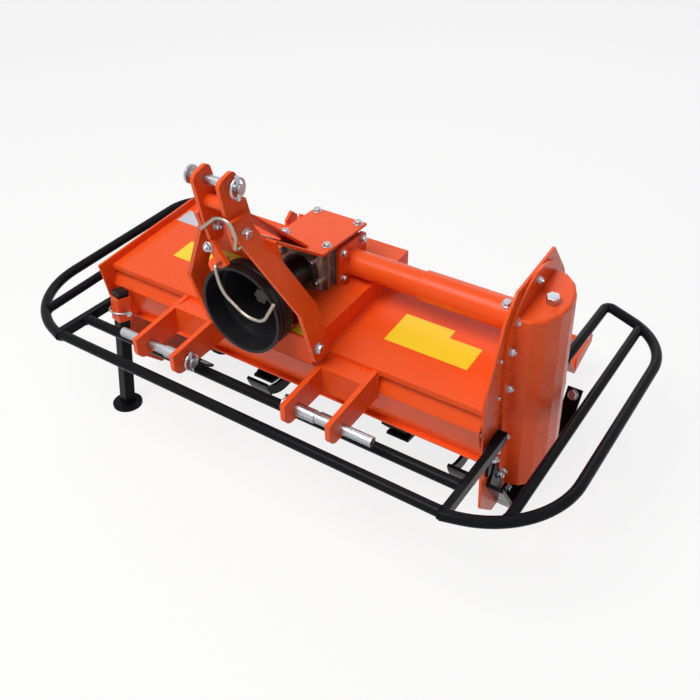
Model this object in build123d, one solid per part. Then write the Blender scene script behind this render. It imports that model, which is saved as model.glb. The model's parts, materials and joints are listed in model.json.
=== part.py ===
from build123d import *
import math
import os

# Rotavator for a compact tractor, in millimetres.
# +X is the drive side, -Y the tractor side, +Z up, and the floor is z = 0.

# Tiller body
WORK_WIDTH = 1008.0          # inside width between the side plates
PLATE_T = 6.0                # side plates
PLATE_BOTTOM = 8.0           # underside of the side plates, on the skid soles
HOOD_T = 5.0                 # folded sheet of the hood and of the front beam
HOOD_FRONT_Y = -264.0
HOOD_FRONT_Z = 374.0         # top of the hood at its front lip
HOOD_PITCH = 6.5             # degrees, rising to the rear
HOOD_DEPTH = 339.0           # front lip to rear bend
HOOD_LIP = 14.0
BEAM_GROOVE_Y = -248.0       # shadow groove under the lip
BEAM_FOLD_Y = -270.0
BEAM_FOLD_Z = 320.0
BEAM_FOOT_Y = -244.0
BEAM_FOOT_Z = 236.0
BEAM_LIP = 12.0              # foot turned forward
PLATE_TOE_Y = -227.0
PLATE_TOE_Z = 74.0
PLATE_SOLE_FRONT_Y = -158.0
PLATE_SOLE_REAR_Y = 236.0
PLATE_HEEL_Y = 244.0
PLATE_HEEL_Z = 112.0
PLATE_SHOULDER_Y = 165.0
DRIVE_SHOULDER_Z = 380.0     # drive-side plate, behind the chain case
DRIVE_BACK_Y = 70.0
DRIVE_BACK_Z = 534.0
DRIVE_PEAK_Y = -6.0
DRIVE_PEAK_Z = 617.0
DRIVE_CROWN_Y = -175.0
DRIVE_CROWN_Z = 599.0
DRIVE_BROW_Y = -217.0
DRIVE_BROW_Z = 550.0
DRIVE_FRONT_Y = -270.0
DRIVE_FRONT_Z = 392.0
IDLE_SHOULDER_Z = 372.0      # plate of the other side
IDLE_RIDGE_Y = 36.0
IDLE_RIDGE_Z = 426.0
IDLE_NOSE_Y = -304.0
IDLE_NOSE_Z = 388.0
IDLE_CHIN_Y = -288.0
IDLE_CHIN_Z = 297.0

# Rotor
ROTOR_Y = -38.0
ROTOR_Z = 192.0
ROTOR_R = 180.0              # tine tips
ROTOR_TUBE_R = 36.0
ROTOR_END_GAP = 38.0         # rotor tube to the side plates
JOURNAL_R = 20.0
DISC_R = 78.0
DISC_T = 8.0
DISC_COUNT = 6
DISC_END_GAP = 94.0          # outer discs to the side plates
TINE_T = 8.0
TINE_W = 44.0
TINE_SWEEP = 35.0            # degrees that a tip trails its root
TINE_REACH = 62.0            # sideways length of a blade
TINE_ROOT_R = 46.0
TINES_PER_SIDE = 2
BEARING_R = 66.0
BEARING_T = 10.0
BEARING_BOSS_R = 40.0
BEARING_BOSS_L = 32.0

# Drive line
DRIVE_Y = -77.0              # cross shaft over the hood
DRIVE_Z = 480.0              # cross shaft and tractor shaft
BOX_LEFT_X = -58.0
BOX_RIGHT_X = 71.0
BOX_SIDE_STEP = 15.0         # core of the casting behind its ribs
BOX_ROUND = 18.0
BOX_FRONT_Y = -172.0
BOX_REAR_Y = -22.0
BOX_TOP_Z = 545.0
BOX_RIM = 10.0               # top rim of the casting
BOX_RIBS = 5
BOX_RIB_T = 6.0
BOX_NOSE_R = 56.0            # round nose of the casting behind the shield
BOX_NOSE_L = 40.0
BOSS_CIRCLE_R = 54.0         # tapped bosses round the nose
BOSS_ANGLES = (-15.0, 40.0, 140.0, 195.0)
BOSS_R = 9.0
BOSS_OUT = 8.0
COVER_T = 6.0
COVER_OVERHANG = 10.0        # past the casting, on the drive side
COVER_BEND_Y = -190.0        # where the cover's tongue turns up
TONGUE_FRONT_Y = -346.0
TONGUE_PITCH = 33.8          # degrees
TONGUE_HOLE_R = 5.0
TONGUE_HOLE_EDGE = 23.0      # from the cover's drive-side edge
TONGUE_HOLES_Y = (-295.0, -235.0)
FLANGE_T = 10.0              # square flanges each side of the gearbox
FLANGE_HALF = 53.0
TUBE_R = 30.0
SLEEVE_L = 239.0             # thick end of the cross tube
SLEEVE_R = 34.0
SPLINE_R = 17.45             # six-spline tractor shaft
SPLINE_ROOT_R = 14.6
SPLINE_COUNT = 6
SPLINE_W = 8.6
SPLINE_LENGTH = 133.0
SHAFT_SEAT = 30.0            # depth of the shaft's hole in the gearbox
SHAFT_END_GAP = 2.0          # shaft to the bottom of that hole
SHIELD_RIM_Y = -372.0
SHIELD_RIM_R = 96.0
SHIELD_BAND_R = 92.0         # rear of the wide front band
SHIELD_STEP_Y = -322.0
SHIELD_CONE_R = 86.0
SHIELD_REAR_R = 60.0
SHIELD_REAR_Y = -250.0
SHIELD_T = 4.0
SHIELD_BEAD = 3.0
SHIELD_BEAD_L = 9.0
SHIELD_NECK_R = 38.0

# Chain case
CASE_CHORD = 185.0
CASE_DEPTH = 72.0
CASE_FACETS = 8
CASE_TOP = 75.0              # above the cross shaft
CASE_FOOT = 118.0            # below the rotor axis
CASE_EDGE = 7.0
CASE_FLANGE_T = 6.0
CASE_FLANGE_MARGIN = 37.0
PLUG_R = 14.0
PLUG_H = 16.0
PLUG_FORWARD = 12.0          # plug ahead of the case's middle

# Bridge that carries the gearbox
BRIDGE_HALF = 138.0
BRIDGE_T = 6.0
BRIDGE_FRONT_Y = -318.0
BRIDGE_REAR_Y = 70.0
BRIDGE_FRONT_H = 60.0        # above the hood
BRIDGE_REAR_H = 43.0
BRIDGE_NOTCH = 5.0           # room round the shield
BRIDGE_WALL_Y = -262.0       # cross wall inside the front

# Mast
MAST_X = 30.0                # middle of each mast plate
MAST_T = 9.0
MAST_RISE = 328.0            # above the cross shaft
MAST_TOP_Y = -391.0
MAST_TOP_ROUND = 14.0
MAST_NOSE_Y = -438.0
MAST_NOSE_DROP = 14.0        # drops are below the mast's top
MAST_WAIST_Y = -420.0
MAST_WAIST_DROP = 108.0
MAST_FOOT_Y = -405.0
MAST_FOOT_DROP = 163.0
MAST_FOOT_W = 33.0
MAST_ELBOW_Y = -361.0
MAST_ELBOW_DROP = 107.0
BRACE_T = 6.0                # strip from the mast's rear edges down to the cover
BRACE_PITCH = 40.66          # degrees
BRACE_TOP_DROP = 68.0
TIE_T = 6.0                  # cross plate on the legs' rear edges
TIE_HALF = 85.0
TIE_FOOT_DROP = 260.0
TIE_TOP_DROP = 153.0
TIE_ARCH_ROOM = 2.0          # cross plate to the shield's rim
TOP_PIN_Y = -403.0
TOP_PIN_DROP = 30.0
TOP_PIN_R = 9.5
TOP_PIN_HALF = 59.0
TOP_PIN_HEAD_R = 18.0
TOP_PIN_HEAD_T = 5.0
SPACER_DROP = 73.0
SPACER_R = 13.0
LEG_W = 55.0
LEG_T = 10.0
LEG_FOOT_Z = 376.0
LEG_FOOT_FRONT_Y = -318.0
LEG_BEND_Z = 515.0
LEG_LEAN = 0.32              # forward run for each millimetre of height
LEG_TAB_DROP = 122.0         # where a leg lies flat on its mast plate
LEG_TOP_DROP = 92.0

# Lower hitch
HITCH_Y = -400.0
HITCH_Z = 314.0
HITCH_PIN_R = 11.0           # free ends
HITCH_SHANK_R = 11.6         # inside the ears
HITCH_SLEEVE_R = 14.0
HITCH_INNER_X = 122.0
HITCH_OUTER_X = 340.0
HITCH_SLEEVE_END = 205.0
EAR_T = 12.0
EAR_INNER_X = 150.0
EAR_OUTER_X = 260.0
EAR_NOSE_Y = -440.0
EAR_NOSE_TOP_Z = 346.0
EAR_NOSE_FOOT_Z = 288.0
EAR_ROOT_TOP_Z = 372.0
EAR_ROOT_FOOT_Z = 300.0
EAR_ROUND = 26.0
WEB_T = 8.0
WEB_FRONT_Y = -312.0
CLIP_R = 4.5                 # linch pin shank
CLIP_RING_R = 19.0
CLIP_WIRE_R = 2.6
CLIP_INSET = 10.0            # linch pin from the end of its pin

# Rest hook for the drive shaft
HOOK_ROD_R = 3.5
HOOK_Y = -428.5              # plane of the hook and of the arch above it
ARCH_LEFT_DROP = 124.0
ARCH_RISE_X = 13.0
ARCH_TOP_DROP = 86.0
ARCH_FALL_X = 44.0
ARCH_SIDE_X = 57.0
ARCH_SIDE_DROP = 120.0
ARCH_RIGHT_DROP = 144.0
ARCH_RISE_BEND = 30.0
ARCH_FALL_BEND = 20.0
HOOK_EYE_X = -4.0
HOOK_EYE_DROP = 196.0
HOOK_EYE_L = 40.0
HOOK_KNEE_X = 9.0
HOOK_KNEE_DROP = 248.0
HOOK_LOW_X = 66.0
HOOK_LOW_DROP = 284.0
HOOK_TURN_X = 107.0
HOOK_TURN_DROP = 283.0
HOOK_TIP_X = 135.0
HOOK_TIP_DROP = 233.0
HOOK_BEND = 55.0
HOOK_TIP_BEND = 30.0
STRAP_T = 10.0
STRAP_H = 22.0
STRAP_END_DROP = 160.0       # upper end, on the left mast plate's foot

# Parking stand
STAND_INSET = 45.0           # leg from the idle side plate
STAND_Y = -335.0             # on the floor
STAND_LEAN = 7.4             # degrees, top leaning to the rear
STAND_TURN = -12.0           # degrees about its own line
STAND_SQ = 28.0
STAND_TOP = 324.0            # leg length
STAND_FOOT_R = 38.0
STAND_FOOT_T = 6.0
SOCKET_SQ = 35.0
SOCKET_FOOT = 252.0          # along the leg
SOCKET_TOP = 316.0
SOCKET_FIT = 0.4
SOCKET_CHEEK_T = 10.0
SOCKET_CHEEK_L = 60.0
CAP_T = 8.0
CAP_SQ = 30.0
LOCK_R = 4.0
LOCK_AT = 280.0
LOCK_WIRE_R = 2.2
LOCK_RING_R = 28.0           # clears the socket's corners
LOCK_HEAD_R = 7.0
LOCK_HEAD_T = 4.0

# Safety guard
GUARD_R = 12.5
GUARD_BAR_R = 11.5
GUARD_Z = 259.0
GUARD_FRONT_Y = -440.0
GUARD_INNER_Y = -359.0
GUARD_SIDE_GAP = 199.0       # side tubes outside the side plates
GUARD_BAR_GAP = 120.0
GUARD_CROSS_W = 16.0
GUARD_FRONT_FALL = 0.3       # rearward run of a loop's front leg
GUARD_FRONT_BEND = 220.0
GUARD_START = 2.0            # depth of a loop's end in its cross tube
GUARD_REAR_Y = {"left": 258.0, "right": 410.0}
GUARD_REAR_FALL = {"left": 0.0, "right": 0.475}
GUARD_REAR_BEND = {"left": 110.0, "right": 180.0}
GUARD_TILT = {"left": 3.0, "right": 0.0}     # degrees, rising to the rear
GUARD_CORNER_BEND = 13.5
GUARD_RETURN_Y = 135.0
GUARD_FLANGE_GAP = 3.0       # front bracket to the chain case flange
GUARD_BRACKET_T = 6.0
GUARD_BRACKET_W = 40.0
GUARD_BRACKET_H = 104.0

# Skids
SKID_T = 8.0
SKID_W = 40.0
SKID_FRONT_Y = -122.0
SKID_REAR_Y = 222.0
SKID_FRONT_RISE = 52.0
SKID_FRONT_RUN = 36.0
SKID_REAR_RISE = 84.0
SKID_REAR_RUN = 50.0
SKID_FLANGE_T = 6.0
SKID_FLANGE_H = 44.0

# Rear flap
HINGE_Y = 140.0
HINGE_Z = 345.0
HINGE_R = 6.0
HINGE_FIT = 0.08
KNUCKLE_R = 11.0
KNUCKLE_L = 90.0
KNUCKLE_COUNT = 3
FLAP_T = 4.0
FLAP_SIDE_GAP = 7.0
FLAP_BEND_Y = 352.0
FLAP_BEND_Z = 70.0
FLAP_TIP_Y = 456.8
FLAP_TIP_Z = 109.0
FLAP_END_H = 42.0
STOP_W = 22.0
STOP_DROP = 62.0             # flap stop below the hinge
STOP_GAP = 0.3
LUG_SETBACK = 32.0           # ears for the flap chain, beside the bridge
LUG_GAP = 22.0
LUG_T = 8.0
LUG_L = 42.0
LUG_H = 70.0
LUG_REAR_GAP = 7.0           # ears ahead of the hood's rear bend

# Shared clearances
PIN_FIT = 0.05               # pins in their holes
RUN_FIT = 0.06               # shafts in their bearings
SHAFT_ROOM = 6.0             # turning parts past fixed ones
SHAFT_STOP = 1.0             # rotor shaft's end to the chain case

PLATE_IN = WORK_WIDTH / 2
PLATE_OUT = PLATE_IN + PLATE_T
COVER_TOP_Z = BOX_TOP_Z + COVER_T
MAST_TOP_Z = DRIVE_Z + MAST_RISE
LEG_TAB_Z = MAST_TOP_Z - LEG_TAB_DROP
LEG_TOP_Z = MAST_TOP_Z - LEG_TOP_DROP
LEG_OUT = BRIDGE_HALF + LEG_T
LEG_TAB_X = MAST_X + MAST_T / 2 + LEG_T
STAND_X = STAND_INSET - PLATE_IN
LUG_X = -BRIDGE_HALF - LUG_SETBACK
GUARD_SIDE_X = PLATE_OUT + GUARD_SIDE_GAP
GUARD_BAR_X = PLATE_OUT + GUARD_BAR_GAP
GUARD_IN = PLATE_OUT + GUARD_BRACKET_T
HOOD_RISE = math.tan(math.radians(HOOD_PITCH))
HOOD_REAR_Y = HOOD_FRONT_Y + HOOD_DEPTH
LUG_FRONT_Y = HOOD_REAR_Y - LUG_REAR_GAP - LUG_L
CASE_TILT = math.degrees(math.atan2(ROTOR_Y - DRIVE_Y, DRIVE_Z - ROTOR_Z))
CASE_SPAN = math.hypot(ROTOR_Y - DRIVE_Y, DRIVE_Z - ROTOR_Z)
CASE_IN = PLATE_OUT + CASE_FLANGE_T
GUARD_LINE_X = GUARD_IN + GUARD_R
CASE_REACH = CASE_CHORD / 2 + CASE_FLANGE_MARGIN
SIDES = {"left": -1, "right": 1}


def hood_z(y):
    """Height of the hood's flat top above the floor."""
    return HOOD_FRONT_Z + (y - HOOD_FRONT_Y) * HOOD_RISE


def outline_face(points):
    return make_face(Polyline(*points, close=True))


def along_x(face, start, end):
    """Carry a (y, z) face along X."""
    return extrude(Plane.YZ.offset(start) * face, end - start)


def along_y(face, start, end):
    """Carry an (x, z) face along Y, drawn as seen from the front."""
    return extrude(Plane.XZ.offset(-end) * face, end - start)


def rounded(face, point, radius):
    """Round the corner of a face nearest to a point."""
    corner = face.vertices().sort_by_distance((point[0], point[1], 0))[0]
    return fillet(corner, radius)


def beside(points, distance):
    """A line of points moved to its left by a distance, with mitred corners."""
    steps = [Vector(*b) - Vector(*a) for a, b in zip(points, points[1:])]
    lefts = [Vector(-s.Y, s.X).normalized() for s in steps]
    moved = []
    for i, point in enumerate(points):
        before = lefts[max(i - 1, 0)]
        after = lefts[min(i, len(lefts) - 1)]
        mitre = (before + after).normalized()
        shift = mitre * (distance / mitre.dot(after))
        moved.append((point[0] + shift.X, point[1] + shift.Y))
    return moved


def bent_sheet(points, thickness):
    """Face of a folded sheet whose outer side follows the points, the sheet on their right."""
    return outline_face(list(points) + beside(points, -thickness)[::-1])


def rod_x(radius, y, z, start, end):
    return along_x(Pos(y, z) * Circle(radius), start, end)


def rod_y(radius, x, z, start, end):
    return along_y(Pos(x, z) * Circle(radius), start, end)


def block(x0, x1, y0, y1, z0, z1):
    return Pos((x0 + x1) / 2, (y0 + y1) / 2, (z0 + z1) / 2) * Box(x1 - x0, y1 - y0, z1 - z0)


def tube_along(path, radius):
    """Round bar along a line of straight runs and arcs."""
    return sweep(Plane(path @ 0, z_dir=path % 0) * Circle(radius), path=path)


def half(shape, side):
    """The drive-side shape, or its mirror image for the other side."""
    return shape if side > 0 else mirror(shape, about=Plane.YZ)


def in_case(shape):
    """Place a shape drawn about the rotor axis on the leaning line of the chain case."""
    return Pos(0, ROTOR_Y, ROTOR_Z) * Rot(X=CASE_TILT) * shape


def leaning(shape):
    """Place a shape drawn upright about the stand's foot on its leaning line."""
    return Pos(STAND_X, STAND_Y, 0) * Rot(X=-STAND_LEAN) * shape


def on_stand(shape):
    """The same for a shape that is turned about the line with the leg."""
    return leaning(Rot(Z=STAND_TURN) * shape)


def polar(radius, angle):
    """Point of a (y, z) face at an angle in degrees behind the upright."""
    return (radius * math.sin(math.radians(angle)), radius * math.cos(math.radians(angle)))


# Tiller body

def hood_top():
    rear_z = hood_z(HOOD_REAR_Y)
    fall = Vector(HINGE_Y - HOOD_REAR_Y, HINGE_Z - rear_z)
    end = fall * (1 - (KNUCKLE_R + SHAFT_ROOM + HOOD_T) / fall.length)
    line = [
        (HOOD_FRONT_Y, HOOD_FRONT_Z - HOOD_LIP),
        (HOOD_FRONT_Y, HOOD_FRONT_Z),
        (HOOD_REAR_Y, rear_z),
        (HOOD_REAR_Y + end.X, rear_z + end.Y),
    ]
    return along_x(bent_sheet(line, HOOD_T), -PLATE_IN, PLATE_IN)


def beam_line():
    """Outer side of the front beam, from the lip of its foot up to the hood's underside."""
    under = hood_z(BEAM_GROOVE_Y) - HOOD_T / math.cos(math.radians(HOOD_PITCH))
    return [
        (BEAM_FOOT_Y - BEAM_LIP, BEAM_FOOT_Z),
        (BEAM_FOOT_Y, BEAM_FOOT_Z),
        (BEAM_FOLD_Y, BEAM_FOLD_Z),
        (BEAM_GROOVE_Y, HOOD_FRONT_Z - HOOD_LIP),
        (BEAM_GROOVE_Y, under),
    ]


def front_beam(hood):
    sheet = along_x(bent_sheet(beam_line(), HOOD_T), -PLATE_IN, PLATE_IN)
    return sheet - hood


def beam_room():
    """Face of the room behind the front beam's outer side."""
    return outline_face(beam_line()[1:] + [(0.0, hood_z(0.0)), (0.0, BEAM_FOOT_Z)])


def plate_outline(side):
    lower = [
        (PLATE_TOE_Y, PLATE_TOE_Z),
        (PLATE_SOLE_FRONT_Y, PLATE_BOTTOM),
        (PLATE_SOLE_REAR_Y, PLATE_BOTTOM),
        (PLATE_HEEL_Y, PLATE_HEEL_Z),
    ]
    if side > 0:
        return lower + [
            (PLATE_SHOULDER_Y, DRIVE_SHOULDER_Z),
            (DRIVE_BACK_Y, DRIVE_BACK_Z),
            (DRIVE_PEAK_Y, DRIVE_PEAK_Z),
            (DRIVE_CROWN_Y, DRIVE_CROWN_Z),
            (DRIVE_BROW_Y, DRIVE_BROW_Z),
            (DRIVE_FRONT_Y, DRIVE_FRONT_Z),
        ]
    return lower + [
        (PLATE_SHOULDER_Y, IDLE_SHOULDER_Z),
        (IDLE_RIDGE_Y, IDLE_RIDGE_Z),
        (IDLE_NOSE_Y, IDLE_NOSE_Z),
        (IDLE_CHIN_Y, IDLE_CHIN_Z),
    ]


def side_plate(side):
    face = outline_face(plate_outline(side))
    face -= Pos(ROTOR_Y, ROTOR_Z) * Circle(JOURNAL_R + SHAFT_ROOM)
    face -= Pos(HINGE_Y, HINGE_Z) * Circle(HINGE_R + PIN_FIT)
    plate = along_x(face, PLATE_IN, PLATE_OUT)
    return half(plate + flap_stop(), side)


def flap_line():
    """Outer side of the flap, from the hinge down to the upturned tip."""
    return [
        (HINGE_Y, HINGE_Z + KNUCKLE_R),
        (FLAP_BEND_Y, FLAP_BEND_Z),
        (FLAP_TIP_Y, FLAP_TIP_Z),
    ]


def flap_stop():
    """Lug inside a side plate, just ahead of the flap."""
    top, bend, _ = [Vector(*p) for p in flap_line()]
    fall = (bend - top).normalized()
    ahead = Vector(fall.Y, -fall.X)
    seat = top + fall * STOP_DROP + ahead * (FLAP_T + STOP_GAP)
    corners = [seat, seat + fall * STOP_W, seat + fall * STOP_W + ahead * STOP_W, seat + ahead * STOP_W]
    return along_x(outline_face([(c.X, c.Y) for c in corners]), PLATE_IN - STOP_W, PLATE_IN)


def hitch_bracket(side, beam, hood):
    """Two ears with a folded web between them, welded to the front beam."""
    ear = outline_face([
        (BEAM_FOOT_Y, EAR_ROOT_TOP_Z),
        (EAR_NOSE_Y, EAR_NOSE_TOP_Z),
        (EAR_NOSE_Y, EAR_NOSE_FOOT_Z),
        (BEAM_FOOT_Y, EAR_ROOT_FOOT_Z),
    ])
    ear = rounded(ear, (EAR_NOSE_Y, EAR_NOSE_FOOT_Z), EAR_ROUND)
    ear -= Pos(HITCH_Y, HITCH_Z) * Circle(HITCH_SHANK_R + PIN_FIT)
    inner = along_x(ear, EAR_INNER_X - EAR_T / 2, EAR_INNER_X + EAR_T / 2)
    outer = along_x(ear, EAR_OUTER_X - EAR_T / 2, EAR_OUTER_X + EAR_T / 2)
    top = EAR_ROOT_TOP_Z - WEB_T
    web = outline_face([
        (BEAM_FOOT_Y, top),
        (WEB_FRONT_Y, top),
        (WEB_FRONT_Y, EAR_ROOT_FOOT_Z),
        (WEB_FRONT_Y + WEB_T, EAR_ROOT_FOOT_Z),
        (WEB_FRONT_Y + WEB_T, top - WEB_T),
        (BEAM_FOOT_Y, top - WEB_T),
    ])
    bracket = inner + outer + along_x(web, EAR_INNER_X, EAR_OUTER_X)
    bracket = half(bracket - along_x(beam_room(), EAR_INNER_X - EAR_T, EAR_OUTER_X + EAR_T), side)
    return (bracket - hood - beam).solids().sort_by(SortBy.VOLUME)[-1]


def bridge_ends():
    """Front and rear end of the bridge's sloping top."""
    return [
        (BRIDGE_FRONT_Y, hood_z(BRIDGE_FRONT_Y) + BRIDGE_FRONT_H),
        (BRIDGE_REAR_Y, hood_z(BRIDGE_REAR_Y) + BRIDGE_REAR_H),
    ]


def gearbox_bridge(brackets):
    """Inverted channel over the hood with a cross wall, hollowed at the front for the shield."""
    ends = bridge_ends()
    outside = outline_face(ends + [
        (BRIDGE_REAR_Y, hood_z(BRIDGE_REAR_Y)),
        (BRIDGE_FRONT_Y, hood_z(BRIDGE_FRONT_Y)),
    ])
    inside = outline_face(beside(ends, -BRIDGE_T) + [(BRIDGE_REAR_Y, 0.0), (BRIDGE_FRONT_Y, 0.0)])
    whole = along_x(outside, -BRIDGE_HALF, BRIDGE_HALF)
    channel = whole - along_x(inside, BRIDGE_T - BRIDGE_HALF, BRIDGE_HALF - BRIDGE_T)
    wall_rear = BRIDGE_WALL_Y + BRIDGE_T
    channel += whole & block(-BRIDGE_HALF, BRIDGE_HALF, BRIDGE_WALL_Y, wall_rear, 0, DRIVE_Z)
    notch_end = SHIELD_REAR_Y + BRIDGE_NOTCH
    channel -= rod_y(SHIELD_CONE_R + BRIDGE_NOTCH, 0, DRIVE_Z, BRIDGE_FRONT_Y, notch_end)
    for bracket in brackets:
        channel -= bracket
    return channel.solids().sort_by(SortBy.VOLUME)[-1]


def bridge_top():
    """Everything below the bridge's top, to seat the gearbox on it."""
    below = outline_face(bridge_ends() + [(BRIDGE_REAR_Y, 0.0), (BRIDGE_FRONT_Y, 0.0)])
    return along_x(below, -BRIDGE_HALF * 2, BRIDGE_HALF * 2)


# Drive line

def gearbox_housing():
    """Cast body with round bosses, upright ribs, a front nose and a top rim."""
    middle_x = (BOX_LEFT_X + BOX_RIGHT_X) / 2
    middle_y = (BOX_FRONT_Y + BOX_REAR_Y) / 2
    width = BOX_RIGHT_X - BOX_LEFT_X
    depth = BOX_REAR_Y - BOX_FRONT_Y
    rim_foot = BOX_TOP_Z - BOX_RIM
    base_z = hood_z(BOX_FRONT_Y)
    core = RectangleRounded(width - 2 * BOX_SIDE_STEP, depth - 2 * BOX_RIB_T, BOX_ROUND)
    body = extrude(Pos(middle_x, middle_y, base_z) * core, rim_foot - base_z)
    body += rod_x(FLANGE_HALF - BOX_RIB_T, DRIVE_Y, DRIVE_Z, BOX_LEFT_X, BOX_RIGHT_X)
    body += rod_y(BOX_NOSE_R, 0, DRIVE_Z, BOX_FRONT_Y, BOX_FRONT_Y + BOX_NOSE_L)
    for angle in BOSS_ANGLES:
        boss_x = BOSS_CIRCLE_R * math.cos(math.radians(angle))
        boss_z = DRIVE_Z + BOSS_CIRCLE_R * math.sin(math.radians(angle))
        body += rod_y(BOSS_R, boss_x, boss_z, BOX_FRONT_Y - BOSS_OUT, BOX_FRONT_Y + BOX_NOSE_L)
    body += extrude(Pos(middle_x, middle_y, rim_foot) * RectangleRounded(width, depth, BOX_RIM), BOX_RIM)
    first = BOX_FRONT_Y + 3 * BOX_RIB_T
    spread = (depth - 6 * BOX_RIB_T) / (BOX_RIBS - 1)
    for i in range(BOX_RIBS):
        rib_y = first + i * spread
        body += block(
            BOX_LEFT_X + BOX_RIB_T / 2, BOX_RIGHT_X - BOX_RIB_T / 2,
            rib_y - BOX_RIB_T / 2, rib_y + BOX_RIB_T / 2, base_z, rim_foot,
        )
    body -= bridge_top()
    return body - rod_y(SPLINE_R + RUN_FIT, 0, DRIVE_Z, BOX_FRONT_Y, BOX_FRONT_Y + SHAFT_SEAT)


def gearbox_cover():
    """Bent plate on the casting, with a tongue that rises forward to the mast."""
    rise = (COVER_BEND_Y - TONGUE_FRONT_Y) * math.tan(math.radians(TONGUE_PITCH))
    line = [(TONGUE_FRONT_Y, COVER_TOP_Z + rise), (COVER_BEND_Y, COVER_TOP_Z), (BOX_REAR_Y, COVER_TOP_Z)]
    right_x = BOX_RIGHT_X + COVER_OVERHANG
    plate = along_x(bent_sheet(line, COVER_T), BOX_LEFT_X, right_x)
    for y in TONGUE_HOLES_Y:
        hole = Pos(right_x - TONGUE_HOLE_EDGE, y, COVER_TOP_Z) * Circle(TONGUE_HOLE_R)
        plate -= extrude(hole, rise)
    return plate


def square_flange(start):
    face = Pos(DRIVE_Y, DRIVE_Z) * RectangleRounded(2 * FLANGE_HALF, 2 * FLANGE_HALF, FLANGE_T)
    return along_x(face, start, start + FLANGE_T) - bridge_top()


def drive_tube():
    """Flanged tube from the gearbox to the drive-side plate, stepped up to a sleeve."""
    tube = rod_x(TUBE_R, DRIVE_Y, DRIVE_Z, BOX_RIGHT_X + FLANGE_T, PLATE_IN)
    sleeve = rod_x(SLEEVE_R, DRIVE_Y, DRIVE_Z, PLATE_IN - SLEEVE_L, PLATE_IN)
    return square_flange(BOX_RIGHT_X) + tube + sleeve


def pto_shield():
    """Plastic guard round the tractor shaft: a wide front band, a cone and a neck to the gearbox."""
    bore = SPLINE_R + SHAFT_ROOM
    half_wall = [
        (SHIELD_RIM_R - SHIELD_T, SHIELD_RIM_Y),
        (SHIELD_RIM_R + SHIELD_BEAD, SHIELD_RIM_Y),
        (SHIELD_RIM_R + SHIELD_BEAD, SHIELD_RIM_Y + SHIELD_BEAD_L),
        (SHIELD_RIM_R, SHIELD_RIM_Y + SHIELD_BEAD_L),
        (SHIELD_BAND_R, SHIELD_STEP_Y),
        (SHIELD_CONE_R, SHIELD_STEP_Y),
        (SHIELD_REAR_R, SHIELD_REAR_Y),
        (SHIELD_NECK_R, SHIELD_REAR_Y),
        (SHIELD_NECK_R, BOX_FRONT_Y),
        (bore, BOX_FRONT_Y),
        (bore, SHIELD_REAR_Y - SHIELD_T),
        (SHIELD_REAR_R - SHIELD_T, SHIELD_REAR_Y - SHIELD_T),
        (SHIELD_CONE_R - SHIELD_T, SHIELD_STEP_Y - SHIELD_T),
        (SHIELD_BAND_R - SHIELD_T, SHIELD_STEP_Y - SHIELD_T),
    ]
    return Pos(0, 0, DRIVE_Z) * revolve(outline_face(half_wall), Axis.Y)


def input_shaft():
    """Six-spline stub with a round journal in the gearbox."""
    section = Circle(SPLINE_ROOT_R)
    crest = math.sqrt(SPLINE_R ** 2 - (SPLINE_W / 2) ** 2)
    for i in range(SPLINE_COUNT):
        section += Rot(Z=i * 360 / SPLINE_COUNT) * Pos(crest / 2, 0) * Rectangle(crest, SPLINE_W)
    stub = along_y(Pos(0, DRIVE_Z) * section, BOX_FRONT_Y - SPLINE_LENGTH, BOX_FRONT_Y)
    journal = rod_y(SPLINE_R, 0, DRIVE_Z, BOX_FRONT_Y - SHIELD_T, BOX_FRONT_Y + SHAFT_SEAT - SHAFT_END_GAP)
    return stub + journal


# Chain case

def flange_front_y(z):
    """Front edge of the leaning case flange at a height."""
    lean = math.radians(CASE_TILT)
    return ROTOR_Y - CASE_REACH / math.cos(lean) - (z - ROTOR_Z) * math.tan(lean)


def case_section():
    """D-shaped plan of the case, folded in flat facets."""
    points = []
    for i in range(CASE_FACETS + 1):
        turn = math.pi * i / CASE_FACETS
        points.append((CASE_IN + CASE_DEPTH * math.sin(turn), CASE_CHORD / 2 * math.cos(turn)))
    return outline_face(points)


def chain_case():
    case = extrude(Pos(0, 0, -CASE_FOOT) * case_section(), CASE_FOOT + CASE_SPAN + CASE_TOP)
    rim = case.faces().sort_by(Axis.Z)[-1].edges().filter_by(Axis.Y, reverse=True)
    return in_case(fillet(rim, CASE_EDGE))


def chain_case_flange():
    face = Pos(0, CASE_SPAN) * Circle(CASE_REACH)
    face += Pos(0, (CASE_SPAN - CASE_FOOT) / 2) * Rectangle(2 * CASE_REACH, CASE_SPAN + CASE_FOOT)
    face -= Circle(JOURNAL_R + SHAFT_ROOM)
    return in_case(along_x(face, PLATE_OUT, CASE_IN))


def filler_plug():
    top = CASE_SPAN + CASE_TOP
    plug = extrude(Pos(CASE_IN + CASE_DEPTH / 2, -PLUG_FORWARD, top) * RegularPolygon(PLUG_R, 6), PLUG_H)
    return in_case(plug)


# Rotor

def rotor_shaft():
    reach = PLATE_IN - ROTOR_END_GAP
    shaft = rod_x(ROTOR_TUBE_R, ROTOR_Y, ROTOR_Z, -reach, reach)
    bearing_end = SHAFT_ROOM - PLATE_OUT - BEARING_BOSS_L
    shaft += rod_x(JOURNAL_R, ROTOR_Y, ROTOR_Z, bearing_end, CASE_IN - SHAFT_STOP)
    for x in disc_places():
        shaft += rod_x(DISC_R, ROTOR_Y, ROTOR_Z, x - DISC_T / 2, x + DISC_T / 2)
    return shaft


def disc_places():
    last = PLATE_IN - DISC_END_GAP
    return [last * (2 * i / (DISC_COUNT - 1) - 1) for i in range(DISC_COUNT)]


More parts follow.
